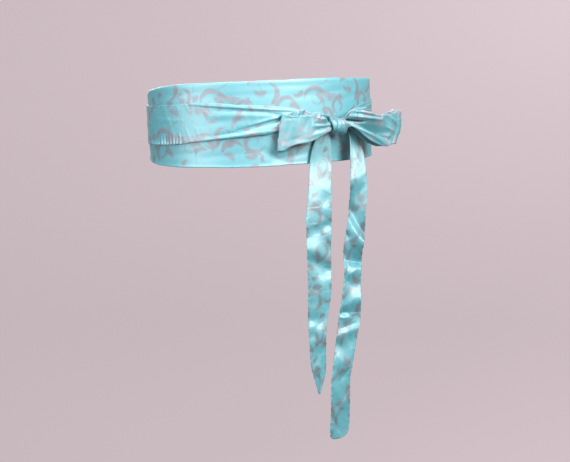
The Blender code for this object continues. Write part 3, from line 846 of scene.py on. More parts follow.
# %% The outline, depth and turns of the tails
# Turn is in degrees. Out is how far a bend comes forward, and slant says how its line slopes
TailSection = namedtuple("TailSection", "drop left right depth turn out slant", defaults=(0, 0))
TAIL_LEFT = table(
    TailSection,
    (0.0040, 0.0290, 0.0335, -0.1050, 0),
    (0.0085, 0.0245, 0.0318, -0.1038, 0),
    (0.0150, 0.0175, 0.0326, -0.1038, 0),
    (0.0260, 0.0104, 0.0337, -0.1050, 2, -0.0012),
    (0.0445, 0.0048, 0.0326, -0.1079, 5, -0.0036),
    (0.0750, 0.0005, 0.0294, -0.1118, 8),
    (0.1100, -0.0044, 0.0282, -0.1158, 2, 0.0010, -0.3),
    (0.1240, -0.0045, 0.0272, -0.1169, 0, -0.0012, -0.3),
    (0.1450, -0.0046, 0.0260, -0.1184, -8, 0.0016, 0.5),
    (0.1600, -0.0045, 0.0258, -0.1194, -4, -0.0012, 0.5),
    (0.1800, -0.0044, 0.0256, -0.1204, 0, 0.0012, -0.4),
    (0.2160, -0.0050, 0.0205, -0.1217, 8, -0.0008, -0.3),
    (0.2350, -0.0039, 0.0178, -0.1220, 10, 0.0012, 0.4),
    (0.2700, -0.0016, 0.0176, -0.1226, 2),
    (0.2800, 0.0009, 0.0170, -0.1227, 0),
    (0.2900, 0.0042, 0.0142, -0.1228, 0),
    (0.3030, 0.0081, 0.0099, -0.1230, 0),
)
TAIL_RIGHT = table(
    TailSection,
    (-0.0020, 0.0470, 0.0490, -0.1060, 0),
    (0.0010, 0.0487, 0.0512, -0.1044, 0),
    (0.0060, 0.0520, 0.0570, -0.1042, 0),
    (0.0156, 0.0572, 0.0650, -0.1044, 0),
    (0.0240, 0.0577, 0.0710, -0.1050, -4),
    (0.0400, 0.0567, 0.0758, -0.1072, -4, 0.0010, -0.4),
    (0.0600, 0.0552, 0.0762, -0.1100, 8, 0.0050, -0.8),
    (0.0800, 0.0540, 0.0758, -0.1123, 22, 0.0020, 0.2),
    (0.1000, 0.0515, 0.0726, -0.1146, 30, -0.0030, 1.2),
    (0.1120, 0.0486, 0.0720, -0.1159, 24, -0.0054, 1.4),
    (0.1250, 0.0460, 0.0710, -0.1170, 14, 0.0044, 1.2),
    (0.1450, 0.0424, 0.0670, -0.1184, 14, -0.0010, 0.4),
    (0.1570, 0.0427, 0.0657, -0.1191, 6, -0.0040, 0.2),
    (0.1640, 0.0429, 0.0650, -0.1195, -2, 0.0012, 0.2),
    (0.1800, 0.0415, 0.0640, -0.1204, -2, -0.0008, 0.4),
    (0.2020, 0.0378, 0.0634, -0.1215, 12, 0.0016, -0.4),
    (0.2200, 0.0344, 0.0630, -0.1218, 8, -0.0014, -0.2),
    (0.2360, 0.0320, 0.0594, -0.1221, 10, 0.0012, -0.4),
    (0.2550, 0.0292, 0.0556, -0.1223, 10, -0.0010, 0.5),
    (0.2760, 0.0264, 0.0518, -0.1226, 2, 0.0012, 0.5),
    (0.2900, 0.0243, 0.0490, -0.1229, -4),
    (0.3280, 0.0240, 0.0487, -0.1230, -4),
    (0.3450, 0.0230, 0.0478, -0.1230, -4),
    (0.3510, 0.0232, 0.0462, -0.1230, -3),
    (0.3555, 0.0246, 0.0420, -0.1230, -2),
    (0.3574, 0.0275, 0.0350, -0.1230, -2),
)
print("the tails end", TAIL_LEFT[-1].drop, "and", TAIL_RIGHT[-1].drop, "m below the ring's middle")

# %% The folds across the tails
# Each runs from one drop and share of the width to another. It swells out or sinks, over one
# width above its line and another below it
Twist = namedtuple("Twist", "drop_a share_a drop_b share_b depth above below sharp")
LEFT_TWISTS = table(
    Twist,
    (0.030, 0.20, 0.064, 0.60, 0.0008, 0.0075, 0.0057, 1.9),
    (0.056, 1.00, 0.068, 0.55, -0.0013, 0.0075, 0.0037, 1.6),
    (0.080, 1.00, 0.094, 0.62, -0.0015, 0.0090, 0.0037, 1.6),
    (0.076, 0.10, 0.098, 0.50, 0.0007, 0.0075, 0.0068, 1.9),
    (0.098, 0.45, 0.108, 0.80, -0.0008, 0.0060, 0.0044, 1.8),
    (0.116, 1.00, 0.112, 0.60, -0.0019, 0.0105, 0.0040, 1.6),
    (0.117, 0.00, 0.119, 0.55, -0.0013, 0.0090, 0.0051, 1.8),
    (0.125, 0.60, 0.121, 1.00, 0.0012, 0.0045, 0.0095, 1.9),
    (0.134, 0.35, 0.150, 0.75, 0.0007, 0.0060, 0.0061, 1.9),
    (0.148, 0.05, 0.164, 0.55, -0.0015, 0.0135, 0.0051, 1.6),
    (0.163, 1.00, 0.170, 0.60, -0.0012, 0.0090, 0.0037, 1.6),
    (0.180, 0.00, 0.188, 0.50, -0.0014, 0.0090, 0.0047, 1.6),
    (0.176, 0.60, 0.200, 0.90, 0.0008, 0.0060, 0.0061, 1.9),
    (0.204, 0.00, 0.212, 0.55, 0.0011, 0.0051, 0.0085, 1.9),
    (0.218, 1.00, 0.226, 0.45, -0.0014, 0.0105, 0.0044, 1.6),
    (0.222, 0.00, 0.228, 0.40, 0.0012, 0.0036, 0.0085, 1.8),
    (0.240, 0.05, 0.247, 0.50, 0.0012, 0.0039, 0.0101, 1.8),
    (0.246, 0.95, 0.262, 0.45, -0.0009, 0.0090, 0.0051, 1.8),
    (0.268, 0.20, 0.278, 0.65, 0.0008, 0.0054, 0.0101, 1.9),
)
RIGHT_TWISTS = table(
    Twist,
    (0.034, 0.30, 0.052, 0.75, 0.0010, 0.0040, 0.0050, 1.6),
    (0.049, 0.95, 0.060, 0.10, -0.0012, 0.0060, 0.0040, 1.5),
    (0.070, 0.95, 0.084, 0.35, -0.0012, 0.0060, 0.0044, 1.5),
    (0.086, 0.10, 0.100, 0.60, 0.0010, 0.0050, 0.0070, 1.6),
    (0.106, 0.15, 0.128, 0.75, 0.0016, 0.0040, 0.0060, 1.4),
    (0.113, 0.20, 0.122, 0.45, -0.0013, 0.0030, 0.0037, 1.4),
    (0.122, 0.00, 0.132, 0.20, -0.0020, 0.0030, 0.0030, 1.2),
    (0.158, 1.00, 0.161, 0.30, -0.0046, 0.0170, 0.0032, 1.1),
    (0.160, 0.00, 0.163, 0.30, -0.0024, 0.0070, 0.0032, 1.2),
    (0.164, 0.80, 0.172, 0.20, 0.0012, 0.0030, 0.0075, 1.4),
    (0.176, 0.10, 0.188, 0.60, -0.0014, 0.0050, 0.0037, 1.4),
    (0.190, 0.95, 0.204, 0.40, 0.0010, 0.0040, 0.0063, 1.6),
    (0.214, 0.00, 0.215, 0.45, -0.0036, 0.0090, 0.0030, 1.2),
    (0.219, 0.05, 0.220, 0.45, 0.0022, 0.0026, 0.0037, 1.3),
    (0.226, 0.90, 0.232, 0.20, -0.0022, 0.0040, 0.0037, 1.3),
    (0.236, 0.55, 0.256, 0.85, -0.0026, 0.0080, 0.0050, 1.3),
    (0.256, 0.00, 0.274, 0.60, 0.0015, 0.0040, 0.0063, 1.5),
    (0.274, 1.00, 0.292, 0.40, -0.0014, 0.0060, 0.0042, 1.5),
    (0.290, 0.10, 0.314, 0.50, 0.0011, 0.0040, 0.0063, 1.7),
    (0.306, 0.95, 0.322, 0.50, 0.0012, 0.0040, 0.0075, 1.6),
    (0.328, 0.00, 0.352, 0.55, -0.0015, 0.0026, 0.0015, 1.1),
)
print("the tails have", len(LEFT_TWISTS), "and", len(RIGHT_TWISTS), "folds")

# %% Make the tails
TAIL_THICK = 0.0010
TAIL_STEP = 0.0008
TAIL_ROWS = 42
TAIL_CUT = 0.034
TAIL_ACROSS = 0.026
PUCKER_PITCH = 0.0080
PUCKER_SIDEWAYS = 0.00050
PUCKER_DEPTH = 0.00010
PUCKER_START = 0.03
PUCKER_RISE = 0.03
PUCKER_OFFSET = 0.003
PUCKER_LEAN = 0.3
END_FADE = 0.012
# A bend that comes forward swings to the left by this share, so the edges still run straight
SWING = 0.51


def make_tail(name, sections, twists, seed):
    """A tail, hung along its table of sections and broken by its folds."""
    first = sections[0].drop
    last = sections[-1].drop
    marks = np.linspace(first, last, round((last - first) / TAIL_STEP))
    shares = across_marks(TAIL_CUT, TAIL_ROWS)
    drop, share = np.meshgrid(marks, shares, indexing="ij")
    section = read(sections, drop)
    wide = section.right - section.left
    side = 2 * share - 1
    settled = np.clip((drop - PUCKER_START) / PUCKER_RISE, 0, 1)
    wave = sway(drop + PUCKER_OFFSET * side, PUCKER_PITCH, seed)
    sideways = (share - 0.5) * wide + PUCKER_SIDEWAYS * settled * wave * side ** 3
    wave = sway(drop + PUCKER_LEAN * sideways, PUCKER_PITCH, seed + 1)
    bump = PUCKER_DEPTH * settled * wave * side ** 4
    for twist in twists:
        bump += swell(
            drop, share * TAIL_ACROSS,
            (twist.drop_a, twist.share_a * TAIL_ACROSS), (twist.drop_b, twist.share_b * TAIL_ACROSS),
            twist.depth, twist.above, twist.sharp, twist.below,
        )
    ends = np.minimum(drop - first, last - drop)
    bump *= np.clip(ends / END_FADE, 0, 1)
    out = read(sections, drop - section.slant * sideways).out
    out = out + sideways * np.sin(np.radians(section.turn)) + bump
    middle = np.stack([
        (section.left + section.right) / 2 + sideways - SWING * out,
        section.depth - out,
        -drop,
    ], axis=-1)
    half = half_wall(share, wide, ends, TAIL_THICK)
    flat_map = np.stack([drop, TAIL_CUT * share], axis=-1)
    return cloth(name, middle, half, flat_map)


tail_left = make_tail("tail_left_cloth", TAIL_LEFT, LEFT_TWISTS, 0.9)
tail_right = make_tail("tail_right_cloth", TAIL_RIGHT, RIGHT_TWISTS, 2.6)

# %% [markdown]
# Helpers for shader groups
# A print or a weave that several materials share is built once, as a node group with named
# inputs and outputs. It could be wired by hand in the shader editor, where a long chain of sums
# soon gets hard to read. In code each helper adds one node and gives back its result, so that a
# chain reads like the sum that it is.

# %% Node helpers
def open_group(name, inputs, outputs):
    """A new shader group with its named sockets, and its input and output nodes."""
    group = bpy.data.node_groups.new(name, "ShaderNodeTree")
    for label, default in inputs.items():
        kind = "NodeSocketVector" if isinstance(default, tuple) else "NodeSocketFloat"
        socket = group.interface.new_socket(name=label, in_out="INPUT", socket_type=kind)
        socket.default_value = default
    for label in outputs:
        group.interface.new_socket(name=label, in_out="OUTPUT", socket_type="NodeSocketFloat")
    return group, group.nodes.new("NodeGroupInput"), group.nodes.new("NodeGroupOutput")


def dial(node, values):
    """Set a node's inputs by their names."""
    for label, value in values.items():
        node.inputs[label].default_value = value


def connect(tree, node, values):
    """Link sockets to a node's inputs, in order, and set plain values."""
    for socket, value in zip(node.inputs, values):
        if isinstance(value, bpy.types.NodeSocket):
            tree.links.new(value, socket)
        else:
            socket.default_value = value


def maths(tree, operation, *values, clamp=False):
    """A math node, and its result."""
    node = tree.nodes.new("ShaderNodeMath")
    node.operation = operation
    node.use_clamp = clamp
    connect(tree, node, values)
    return node.outputs[0]


def vectors(tree, operation, *values, result="Vector"):
    """A vector math node, and its result."""
    node = tree.nodes.new("ShaderNodeVectorMath")
    node.operation = operation
    connect(tree, node, values)
    return node.outputs[result]


def noise(tree, where, scale, detail=2.0, roughness=0.5, colour=False):
    """A noise texture on the given coordinates."""
    node = tree.nodes.new("ShaderNodeTexNoise")
    dial(node, {"Scale": scale, "Detail": detail, "Roughness": roughness})
    tree.links.new(where, node.inputs["Vector"])
    return node.outputs["Color" if colour else "Fac"]


# %% [markdown]
# One brush stroke
# The print is a loose all-over of curled strokes, as if drawn with a soft brush: rings that are
# thick on one side, commas and thin echo lines. It could be painted as a picture, but a formula
# stays crisp from nearby. Every stroke is an arc that swells in the middle and thins to its ends,
# and the group measures how far a point lies inside such an arc. The offset is wrapped at the
# size of the repeat, so that a stroke over the border comes in on the other side.

# %% Stroke group
REPEAT_LONG = 0.118
REPEAT_TALL = 0.092


def make_stroke_group():
    group, start, end = open_group(
        "Curled stroke",
        {
            "Point": (0, 0, 0),
            "Centre": (0, 0, 0),
            "Radius": 0.01,
            "Curl": 0.0,
            "Middle": 0.0,
            "Half sweep": 1.5,
            "Half width": 0.002,
            "Lean": 0.0,
        },
        ("Inside",),
    )
    given = start.outputs
    half = (REPEAT_LONG / 2, REPEAT_TALL / 2, 1.0)
    offset = vectors(group, "SUBTRACT", given["Point"], given["Centre"])
    wrapped = vectors(group, "WRAP", offset, half, tuple(-value for value in half))
    parts = group.nodes.new("ShaderNodeSeparateXYZ")
    group.links.new(wrapped, parts.inputs[0])
    away = vectors(group, "LENGTH", wrapped, result="Value")
    angle = maths(group, "ARCTAN2", parts.outputs["Y"], parts.outputs["X"])
    turned = maths(group, "SUBTRACT", angle, given["Middle"])
    turned = maths(group, "WRAP", turned, pi, -pi)
    share = maths(group, "DIVIDE", turned, given["Half sweep"])
    share = maths(group, "MAXIMUM", maths(group, "MINIMUM", share, 1.0), -1.0)
    taper = maths(group, "SUBTRACT", 1.0, maths(group, "POWER", maths(group, "ABSOLUTE", share), 3.0))
    fuller = maths(group, "MULTIPLY_ADD", share, given["Lean"], 1.0)
    width = maths(group, "MULTIPLY", maths(group, "MULTIPLY", taper, fuller), given["Half width"])
    radius = maths(group, "MULTIPLY_ADD", turned, given["Curl"], given["Radius"])
    gap = maths(group, "ABSOLUTE", maths(group, "SUBTRACT", away, radius))
    group.links.new(maths(group, "SUBTRACT", width, gap), end.inputs["Inside"])
    return group


stroke_group = make_stroke_group()
print("one stroke takes", len(stroke_group.nodes), "nodes")

# %% [markdown]
# The all-over print
# One repeat of the cloth is charted as a short table of strokes, in millimetres and
# degrees. A random scatter would be quicker, but it leaves gaps and heaps, and an all-over has
# neither. Before the strokes are drawn, the coordinates are pushed about a little by noise, so
# that their edges wander as hand-drawn ones do, and the ink is let thin out in places.

# %% The strokes of one repeat
MM = 0.001
Stroke = namedtuple("Stroke", "x y radius curl middle sweep width lean")
STROKES = table(
    Stroke,
    # open rings with one thick side, each with a smaller mark inside
    (17, 72, 11.0, 1.0, 60, 140, 3.2, 0.3),
    (18, 71, 5.6, 0.4, 230, 120, 1.0, 0.0),
    (51, 61, 9.6, -1.2, 150, 125, 3.1, -0.4),
    (53, 60, 3.0, 0.0, 330, 90, 2.3, 0.3),
    (98, 63, 10.6, -1.2, 110, 140, 3.2, 0.4),
    (98, 64, 5.2, 0.5, 300, 100, 1.8, 0.0),
    (12, 31, 9.4, 1.1, 330, 120, 3.1, 0.4),
    (11, 32, 3.6, 0.0, 120, 100, 2.2, 0.0),
    (61, 27, 10.2, 0.9, 215, 130, 3.4, -0.3),
    (61, 27, 4.8, 0.4, 30, 100, 1.0, 0.0),
    (91, 13, 10.0, -0.8, 40, 130, 3.2, 0.3),
    (90, 13, 4.8, 0.0, 240, 110, 1.6, 0.0),
    # long bent strokes that lead from one ring to the next
    (37, 92, 17.0, 2.4, 250, 55, 3.5, 0.5),
    (76, 77, 13.0, 1.6, 15, 80, 3.6, -0.5),
    (36, 14, 13.0, -1.4, 95, 75, 3.5, 0.5),
    (83, 38, 13.0, 1.6, 160, 62, 3.5, -0.6),
    (112, 42, 12.0, -1.4, 330, 70, 3.1, 0.6),
    (31, 47, 12.0, 1.4, 60, 62, 3.2, -0.5),
    (60, 4, 12.5, 1.5, 80, 60, 3.1, 0.5),
    (2, 8, 12.0, -1.5, 120, 62, 3.2, -0.5),
    # commas and beans
    (35, 60, 5.0, 0.5, 200, 75, 3.6, 0.6),
    (74, 60, 5.2, 0.5, 320, 75, 3.5, -0.5),
    (112, 80, 5.5, 0.6, 290, 80, 3.5, 0.5),
    (36, 29, 5.0, -0.5, 250, 80, 3.4, -0.5),
    (81, 26, 4.6, 0.4, 20, 80, 3.1, 0.5),
    (62, 88, 4.8, 0.5, 120, 80, 3.4, -0.5),
    (114, 22, 4.6, -0.4, 70, 80, 3.1, 0.5),
    (16, 52, 4.4, 0.4, 150, 70, 2.9, 0.4),
    (73, 10, 4.4, 0.4, 210, 80, 2.9, -0.4),
    # leaves drawn in outline, each by two arcs that meet, and thin trailing lines
    (28, 76, 9.0, 0.0, 340, 60, 1.0, 0.0),
    (42, 71, 9.0, 0.0, 160, 60, 1.0, 0.0),
    (80, 52, 8.0, 0.0, 250, 60, 1.0, 0.0),
    (76, 44, 8.0, 0.0, 70, 60, 1.0, 0.0),
    (48, 42, 8.0, 0.0, 110, 60, 1.0, 0.0),
    (44, 51, 8.0, 0.0, 290, 60, 1.0, 0.0),
    (104, 34, 8.0, 0.0, 210, 60, 1.0, 0.0),
    (95, 30, 8.0, 0.0, 30, 60, 1.0, 0.0),
    (22, 10, 16.0, 1.5, 300, 45, 1.0, 0.3),
    (84, 90, 15.0, -1.5, 200, 45, 1.0, -0.3),
)
# pale washes of the same ink, which fill a leaf or lie beside a ring
WASHES = table(
    Stroke,
    (35, 73, 4.0, 0.0, 340, 80, 4.2, 0.2),
    (78, 48, 3.5, 0.0, 160, 80, 4.0, 0.0),
    (46, 46, 3.5, 0.0, 290, 80, 4.0, 0.0),
    (99, 32, 3.5, 0.0, 120, 80, 4.2, 0.0),
    (20, 66, 9.0, 0.0, 40, 70, 4.6, 0.3),
    (63, 70, 9.0, 0.6, 190, 60, 4.4, -0.3),
    (106, 57, 9.0, 0.0, 60, 60, 4.6, 0.3),
    (6, 22, 9.0, 0.5, 20, 60, 4.4, 0.4),
    (54, 20, 10.0, 0.0, 300, 60, 4.6, 0.0),
    (96, 8, 8.0, 0.0, 340, 70, 4.4, 0.3),
    (30, 6, 8.0, 0.0, 60, 60, 4.2, 0.0),
    (70, 88, 9.0, 0.0, 260, 60, 4.6, 0.3),
)
print("print repeat:", REPEAT_LONG, "by", REPEAT_TALL, "m, with", len(STROKES), "strokes")

# %% Print group
STROKE_SOFT = 0.0014
RIM_WIDTH = 0.0007
WASH_SOFT = 0.0034
WASH_INK = 0.92
WANDER = 0.0045
WANDER_SCALE = 55.0
RAGGED = 0.0008
RAGGED_SCALE = 420.0
THIN_SCALE = 150.0
THINNEST_INK = 0.45
THIN_RANGE = 0.70


def draw(group, point, strokes):
    """How far each point lies inside the nearest stroke of a table."""
    inside = None
    for row in strokes:
        stroke = group.nodes.new("ShaderNodeGroup")
        stroke.node_tree = stroke_group
        group.links.new(point, stroke.inputs["Point"])
        dial(stroke, {
            "Centre": (row.x * MM, row.y * MM, 0),
            "Radius": row.radius * MM,
            "Curl": row.curl * MM,
            "Middle": radians(row.middle),
            "Half sweep": radians(row.sweep),
            "Half width": row.width * MM,
            "Lean": row.lean,
        })
        here = stroke.outputs["Inside"]
        inside = here if inside is None else maths(group, "MAXIMUM", inside, here)
    return inside


def make_print_group():
    """The share of ink, and of its darker rim, at each point of the roll.

    Bleed widens every stroke, and softness is the width of its blurred edge."""
    group, start, end = open_group(
        "Curled print",
        {"Vector": (0, 0, 0), "Wander": WANDER, "Bleed": 0.0, "Softness": STROKE_SOFT},
        ("Ink", "Rim"),
    )
    given = start.outputs
    drift = noise(group, given["Vector"], WANDER_SCALE, colour=True)
    drift = vectors(group, "SUBTRACT", drift, (0.5, 0.5, 0.5))
    scale = group.nodes.new("ShaderNodeVectorMath")
    scale.operation = "SCALE"
    group.links.new(drift, scale.inputs[0])
    group.links.new(given["Wander"], scale.inputs["Scale"])
    moved = vectors(group, "ADD", given["Vector"], scale.outputs["Vector"])
    moved = vectors(group, "MULTIPLY", moved, (1.0, 1.0, 0.0))
    ragged = noise(group, given["Vector"], RAGGED_SCALE)
    ragged = maths(group, "MULTIPLY_ADD", ragged, RAGGED, -RAGGED / 2)
    inside = maths(group, "ADD", draw(group, moved, STROKES), ragged)
    inside = maths(group, "ADD", inside, given["Bleed"])
    ink = maths(group, "DIVIDE", inside, given["Softness"], clamp=True)
    inner = maths(group, "DIVIDE", maths(group, "SUBTRACT", inside, RIM_WIDTH), RIM_WIDTH, clamp=True)
    rim = maths(group, "MULTIPLY", ink, maths(group, "SUBTRACT", 1.0, inner))
    thin = noise(group, given["Vector"], THIN_SCALE, 3.0)
    spread = maths(group, "MULTIPLY_ADD", thin, THIN_RANGE, THINNEST_INK, clamp=True)
    wash = maths(group, "ADD", draw(group, moved, WASHES), given["Bleed"])
    wash = maths(group, "DIVIDE", wash, WASH_SOFT, clamp=True)
    wash = maths(group, "MULTIPLY", wash, maths(group, "MULTIPLY", spread, WASH_INK))
    ink = maths(group, "MULTIPLY", ink, spread)
    group.links.new(maths(group, "MAXIMUM", ink, wash), end.inputs["Ink"])
    group.links.new(rim, end.inputs["Rim"])
    return group


print_group = make_print_group()
print("the print takes", len(print_group.nodes), "nodes")

# %% [markdown]
# The weave and the small creases
# Satin floats its warp over several wefts, so its face is fine parallel threads crossed by a
# faint twill of binding points. That is far too fine to model, and a picture of threads would
# blur from nearby, so it is worked out as height for a bump. A second height holds the small
# soft creases that handling leaves, too shallow to be geometry.

# %% Weave group
THREADS = 4200.0
WARP_HEIGHT = 0.35
TWILL_HEIGHT = 0.15
TWILL_SLANT = 0.4
CREASE_LENGTHWISE = (0.45, 1.0, 1.0)
CREASE_SCALE = 95.0
CLOUD_SCALE = 28.0


def make_weave_group():
    group, start, end = open_group(
        "Satin weave",
        {"Vector": (0, 0, 0), "Threads per metre": THREADS, "Crease": 0.00025},
        ("Threads", "Creases", "Cloudy"),
    )
    given = start.outputs
    parts = group.nodes.new("ShaderNodeSeparateXYZ")
    group.links.new(given["Vector"], parts.inputs[0])
    count = given["Threads per metre"]
    warp = maths(group, "MULTIPLY", parts.outputs["Y"], maths(group, "MULTIPLY", count, 2 * pi))
    slant = maths(group, "MULTIPLY_ADD", parts.outputs["X"], TWILL_SLANT, parts.outputs["Y"])
    twill = maths(group, "MULTIPLY", slant, maths(group, "MULTIPLY", count, pi / 2))
    threads = maths(group, "MULTIPLY_ADD", maths(group, "SINE", warp), WARP_HEIGHT, 0.5)
    threads = maths(group, "MULTIPLY_ADD", maths(group, "SINE", twill), TWILL_HEIGHT, threads)
    group.links.new(threads, end.inputs["Threads"])
    stretched = vectors(group, "MULTIPLY", given["Vector"], CREASE_LENGTHWISE)
    crease = noise(group, stretched, CREASE_SCALE, 3.0, 0.55)
    crease = maths(group, "ABSOLUTE", maths(group, "SUBTRACT", crease, 0.5))
    crease = maths(group, "MULTIPLY", crease, given["Crease"])
    group.links.new(crease, end.inputs["Creases"])
    group.links.new(noise(group, given["Vector"], CLOUD_SCALE), end.inputs["Cloudy"])
    return group


weave_group = make_weave_group()
print("the weave takes", len(weave_group.nodes), "nodes")

# %% [markdown]
# Printed satin
# Satin is glossy because its long floats all lie one way. One colour with a low roughness would
# look like plastic. So the shader has a broad raised specular for the milky light over the whole
# cloth, drawn out along the threads, a tighter coat for the bright bands along the folds, and a
# little sheen for the soft rim. In the troughs, where none of them shows, the dye is deep. The
# aqua ground is slightly cloudy, and the grey-rose ink is a touch less glossy and darker at its
# rim. Each piece has a material of its own, since each was cut at its own place on the roll.

# %% Colours of the dye and the ink
AQUA = (0.140, 0.425, 0.485, 1.0)
AQUA_DEEP = (0.080, 0.365, 0.440, 1.0)
ROSE_GREY = (0.250, 0.228, 0.280, 1.0)
ROSE_DARK = (0.150, 0.165, 0.205, 1.0)
# How much faster the red falls where a piece's aqua ground is darkened as painted shade
PAINTED_SHADE_RED_DRAIN = 0.9


def mix_colour(tree, share, first, second):
    """A colour between two, by a share from 0 to 1."""
    node = tree.nodes.new("ShaderNodeMix")
    node.data_type = "RGBA"
    tree.links.new(share, node.inputs["Factor"])
    for socket, value in ((node.inputs["A"], first), (node.inputs["B"], second)):
        if isinstance(value, bpy.types.NodeSocket):
            tree.links.new(value, socket)
        else:
            socket.default_value = value
    return node.outputs["Result"]


def darkened(colour, shade, drain=0.0):
    """A colour darkened by a factor. With a drain its red falls faster, for the teal of painted shade.
    """
    red, green, blue, alpha = colour
    return (red * shade ** (1 + drain), green * shade, blue * shade, alpha)


print("aqua at 0.7 of its light:", [round(value, 3) for value in darkened(AQUA, 0.7, PAINTED_SHADE_RED_DRAIN)])

# %% Satin material
SATIN_ROUGH = 0.60
INK_ROUGH = 0.64
SATIN_IOR = 1.65
SPECULAR = 1.0
THREAD_PULL = 0.4
ACROSS_THREADS = 0.25
GLOSS = 0.50
GLOSS_ROUGH = 0.32
GLOSS_IOR = 1.6
SHEEN = 0.16
SHEEN_ROUGH = 0.4
THREAD_DEPTH = 0.00004
BUMP_STRENGTH = 0.7
SOFTER_PER_BLEED = 2.4


def printed_satin(name, look):
    """The printed satin of one piece, as its row of the table of looks says."""
    made = bpy.data.materials.new(name)
    made.use_nodes = True
    tree = made.node_tree
    shader = tree.nodes["Principled BSDF"]
    layer = tree.nodes.new("ShaderNodeUVMap")
    layer.uv_map = "cloth"
    mapping = tree.nodes.new("ShaderNodeMapping")
    dial(mapping, {"Location": (*look.place, 0), "Rotation": (0, 0, radians(look.turn))})
    tree.links.new(layer.outputs["UV"], mapping.inputs["Vector"])
    pattern = tree.nodes.new("ShaderNodeGroup")
    pattern.node_tree = print_group
    dial(pattern, {"Bleed": look.bleed, "Softness": STROKE_SOFT + SOFTER_PER_BLEED * look.bleed})
    tree.links.new(mapping.outputs["Vector"], pattern.inputs["Vector"])
    weave = tree.nodes.new("ShaderNodeGroup")
    weave.node_tree = weave_group
    dial(weave, {"Crease": look.crease})
    tree.links.new(mapping.outputs["Vector"], weave.inputs["Vector"])
    # The ground is darkened by the piece's shade: on the knot, loops and tails this is painted shade
    # of their creases and troughs
    pale = darkened(AQUA, look.shade, PAINTED_SHADE_RED_DRAIN)
    deep = darkened(AQUA_DEEP, look.shade, PAINTED_SHADE_RED_DRAIN)
    ground = mix_colour(tree, weave.outputs["Cloudy"], pale, deep)
    rim = darkened(ROSE_DARK, look.ink)
    ink = mix_colour(tree, pattern.outputs["Rim"], darkened(ROSE_GREY, look.ink), rim)
    colour = mix_colour(tree, pattern.outputs["Ink"], ground, ink)
    tree.links.new(colour, shader.inputs["Base Color"])
    rough = maths(tree, "MULTIPLY_ADD", pattern.outputs["Ink"], INK_ROUGH - SATIN_ROUGH, SATIN_ROUGH)
    tree.links.new(rough, shader.inputs["Roughness"])
    threads, creases = weave.outputs["Threads"], weave.outputs["Creases"]
    height = maths(tree, "MULTIPLY_ADD", threads, THREAD_DEPTH, creases)
    bump = tree.nodes.new("ShaderNodeBump")
    dial(bump, {"Strength": BUMP_STRENGTH, "Distance": 1.0})
    tree.links.new(height, bump.inputs["Height"])
    tree.links.new(bump.outputs["Normal"], shader.inputs["Normal"])
    lie = tree.nodes.new("ShaderNodeTangent")
    lie.direction_type = "UV_MAP"
    lie.uv_map = "cloth"
    tree.links.new(lie.outputs["Tangent"], shader.inputs["Tangent"])
    dial(shader, {
        "IOR": SATIN_IOR,
        "Specular IOR Level": SPECULAR,
        "Anisotropic": THREAD_PULL,
        "Anisotropic Rotation": ACROSS_THREADS,
        "Coat Weight": GLOSS,
        "Coat Roughness": GLOSS_ROUGH,
        "Coat IOR": GLOSS_IOR,
        "Sheen Weight": SHEEN,
        "Sheen Roughness": SHEEN_ROUGH,
    })
    return made


# %% [markdown]
# Dress each piece
# No two pieces of a sash look quite alike. Each was cut at another place on the roll, and a
# stretch that was knotted often is more creased, its print wider and softer. The knot, the loops
# and the tails also get a deeper aqua ground, which is painted shade for their many creases and
# troughs. The pieces could share one material, but then the print would run on from one to the
# next. One table holds the looks: the place on the roll, the turn of the print, the height of the
# small creases, the shade that darkens the ground, the light of the ink, and how far the ink has
# bled. On the tails, which hang, the print is turned to stand as it does on the panel. Another
# table holds the cuts: what each piece stands for in the frame, and the size that it was cut to.
# The area is stated where the cut isn't a plain rectangle.

# %% The look of each piece
Look = namedtuple("Look", "place turn crease shade ink bleed")
# Shade darkens each piece's aqua ground; the low values of the knot, loops and tails are painted shade
LOOKS = {
    "panel": Look((0.000, 0.046), 0, 0.00016, 0.94, 0.70, 0.0003),
    "tie_left": Look((0.031, 0.020), 0, 0.00026, 0.91, 0.76, 0.0004),
    "tie_right": Look((0.067, 0.055), 0, 0.00026, 0.88, 0.76, 0.0004),
    "knot": Look((0.021, 0.075), 0, 0.00055, 0.66, 0.90, 0.0008),
    "loop_left": Look((0.052, 0.010), 0, 0.00055, 0.72, 1.00, 0.0014),
    "loop_right": Look((0.045, 0.030), 0, 0.00055, 0.66, 0.95, 0.0008),
    "tail_left": Look((0.070, 0.012), 90, 0.00034, 0.75, 0.34, 0.0012),
    "tail_right": Look((0.014, 0.071), 90, 0.00034, 0.71, 0.38, 0.0012),
}
print(len(LOOKS), "looks of one satin")

Cut = namedtuple("Cut", "piece node slot flat area held")
CUTS = table(
    Cut,
    (panel, "panel", "panel_satin", (0.094, 0.600), 0.0520, "draped"),
    (tie_left, "tie_left", "tie_satin", (0.046, 0.475), 0.0195, "draped"),
    (tie_right, "tie_right", "tie_satin", (0.046, 0.410), 0.0165, "draped"),
    (knot, "knot", "tie_satin", (0.024, 0.058), None, "gathered"),
    (loop_left, "loop_left", "tie_satin", (0.046, 0.145), 0.0050, "folded"),
    (loop_right, "loop_right", "tie_satin", (0.046, 0.165), 0.0058, "folded"),
    (tail_left, "tail_left", "tie_satin", (0.030, 0.305), 0.0078, "hung"),
    (tail_right, "tail_right", "tie_satin", (0.026, 0.365), None, "hung"),
)
for cut in CUTS:
    cut.piece.data.materials.append(printed_satin(cut.node + "_satin", LOOKS[cut.node]))
    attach(cut.piece, "root")
    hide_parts(cut.node)
    print(cut.piece.name, "was cut", cut.flat, "m")

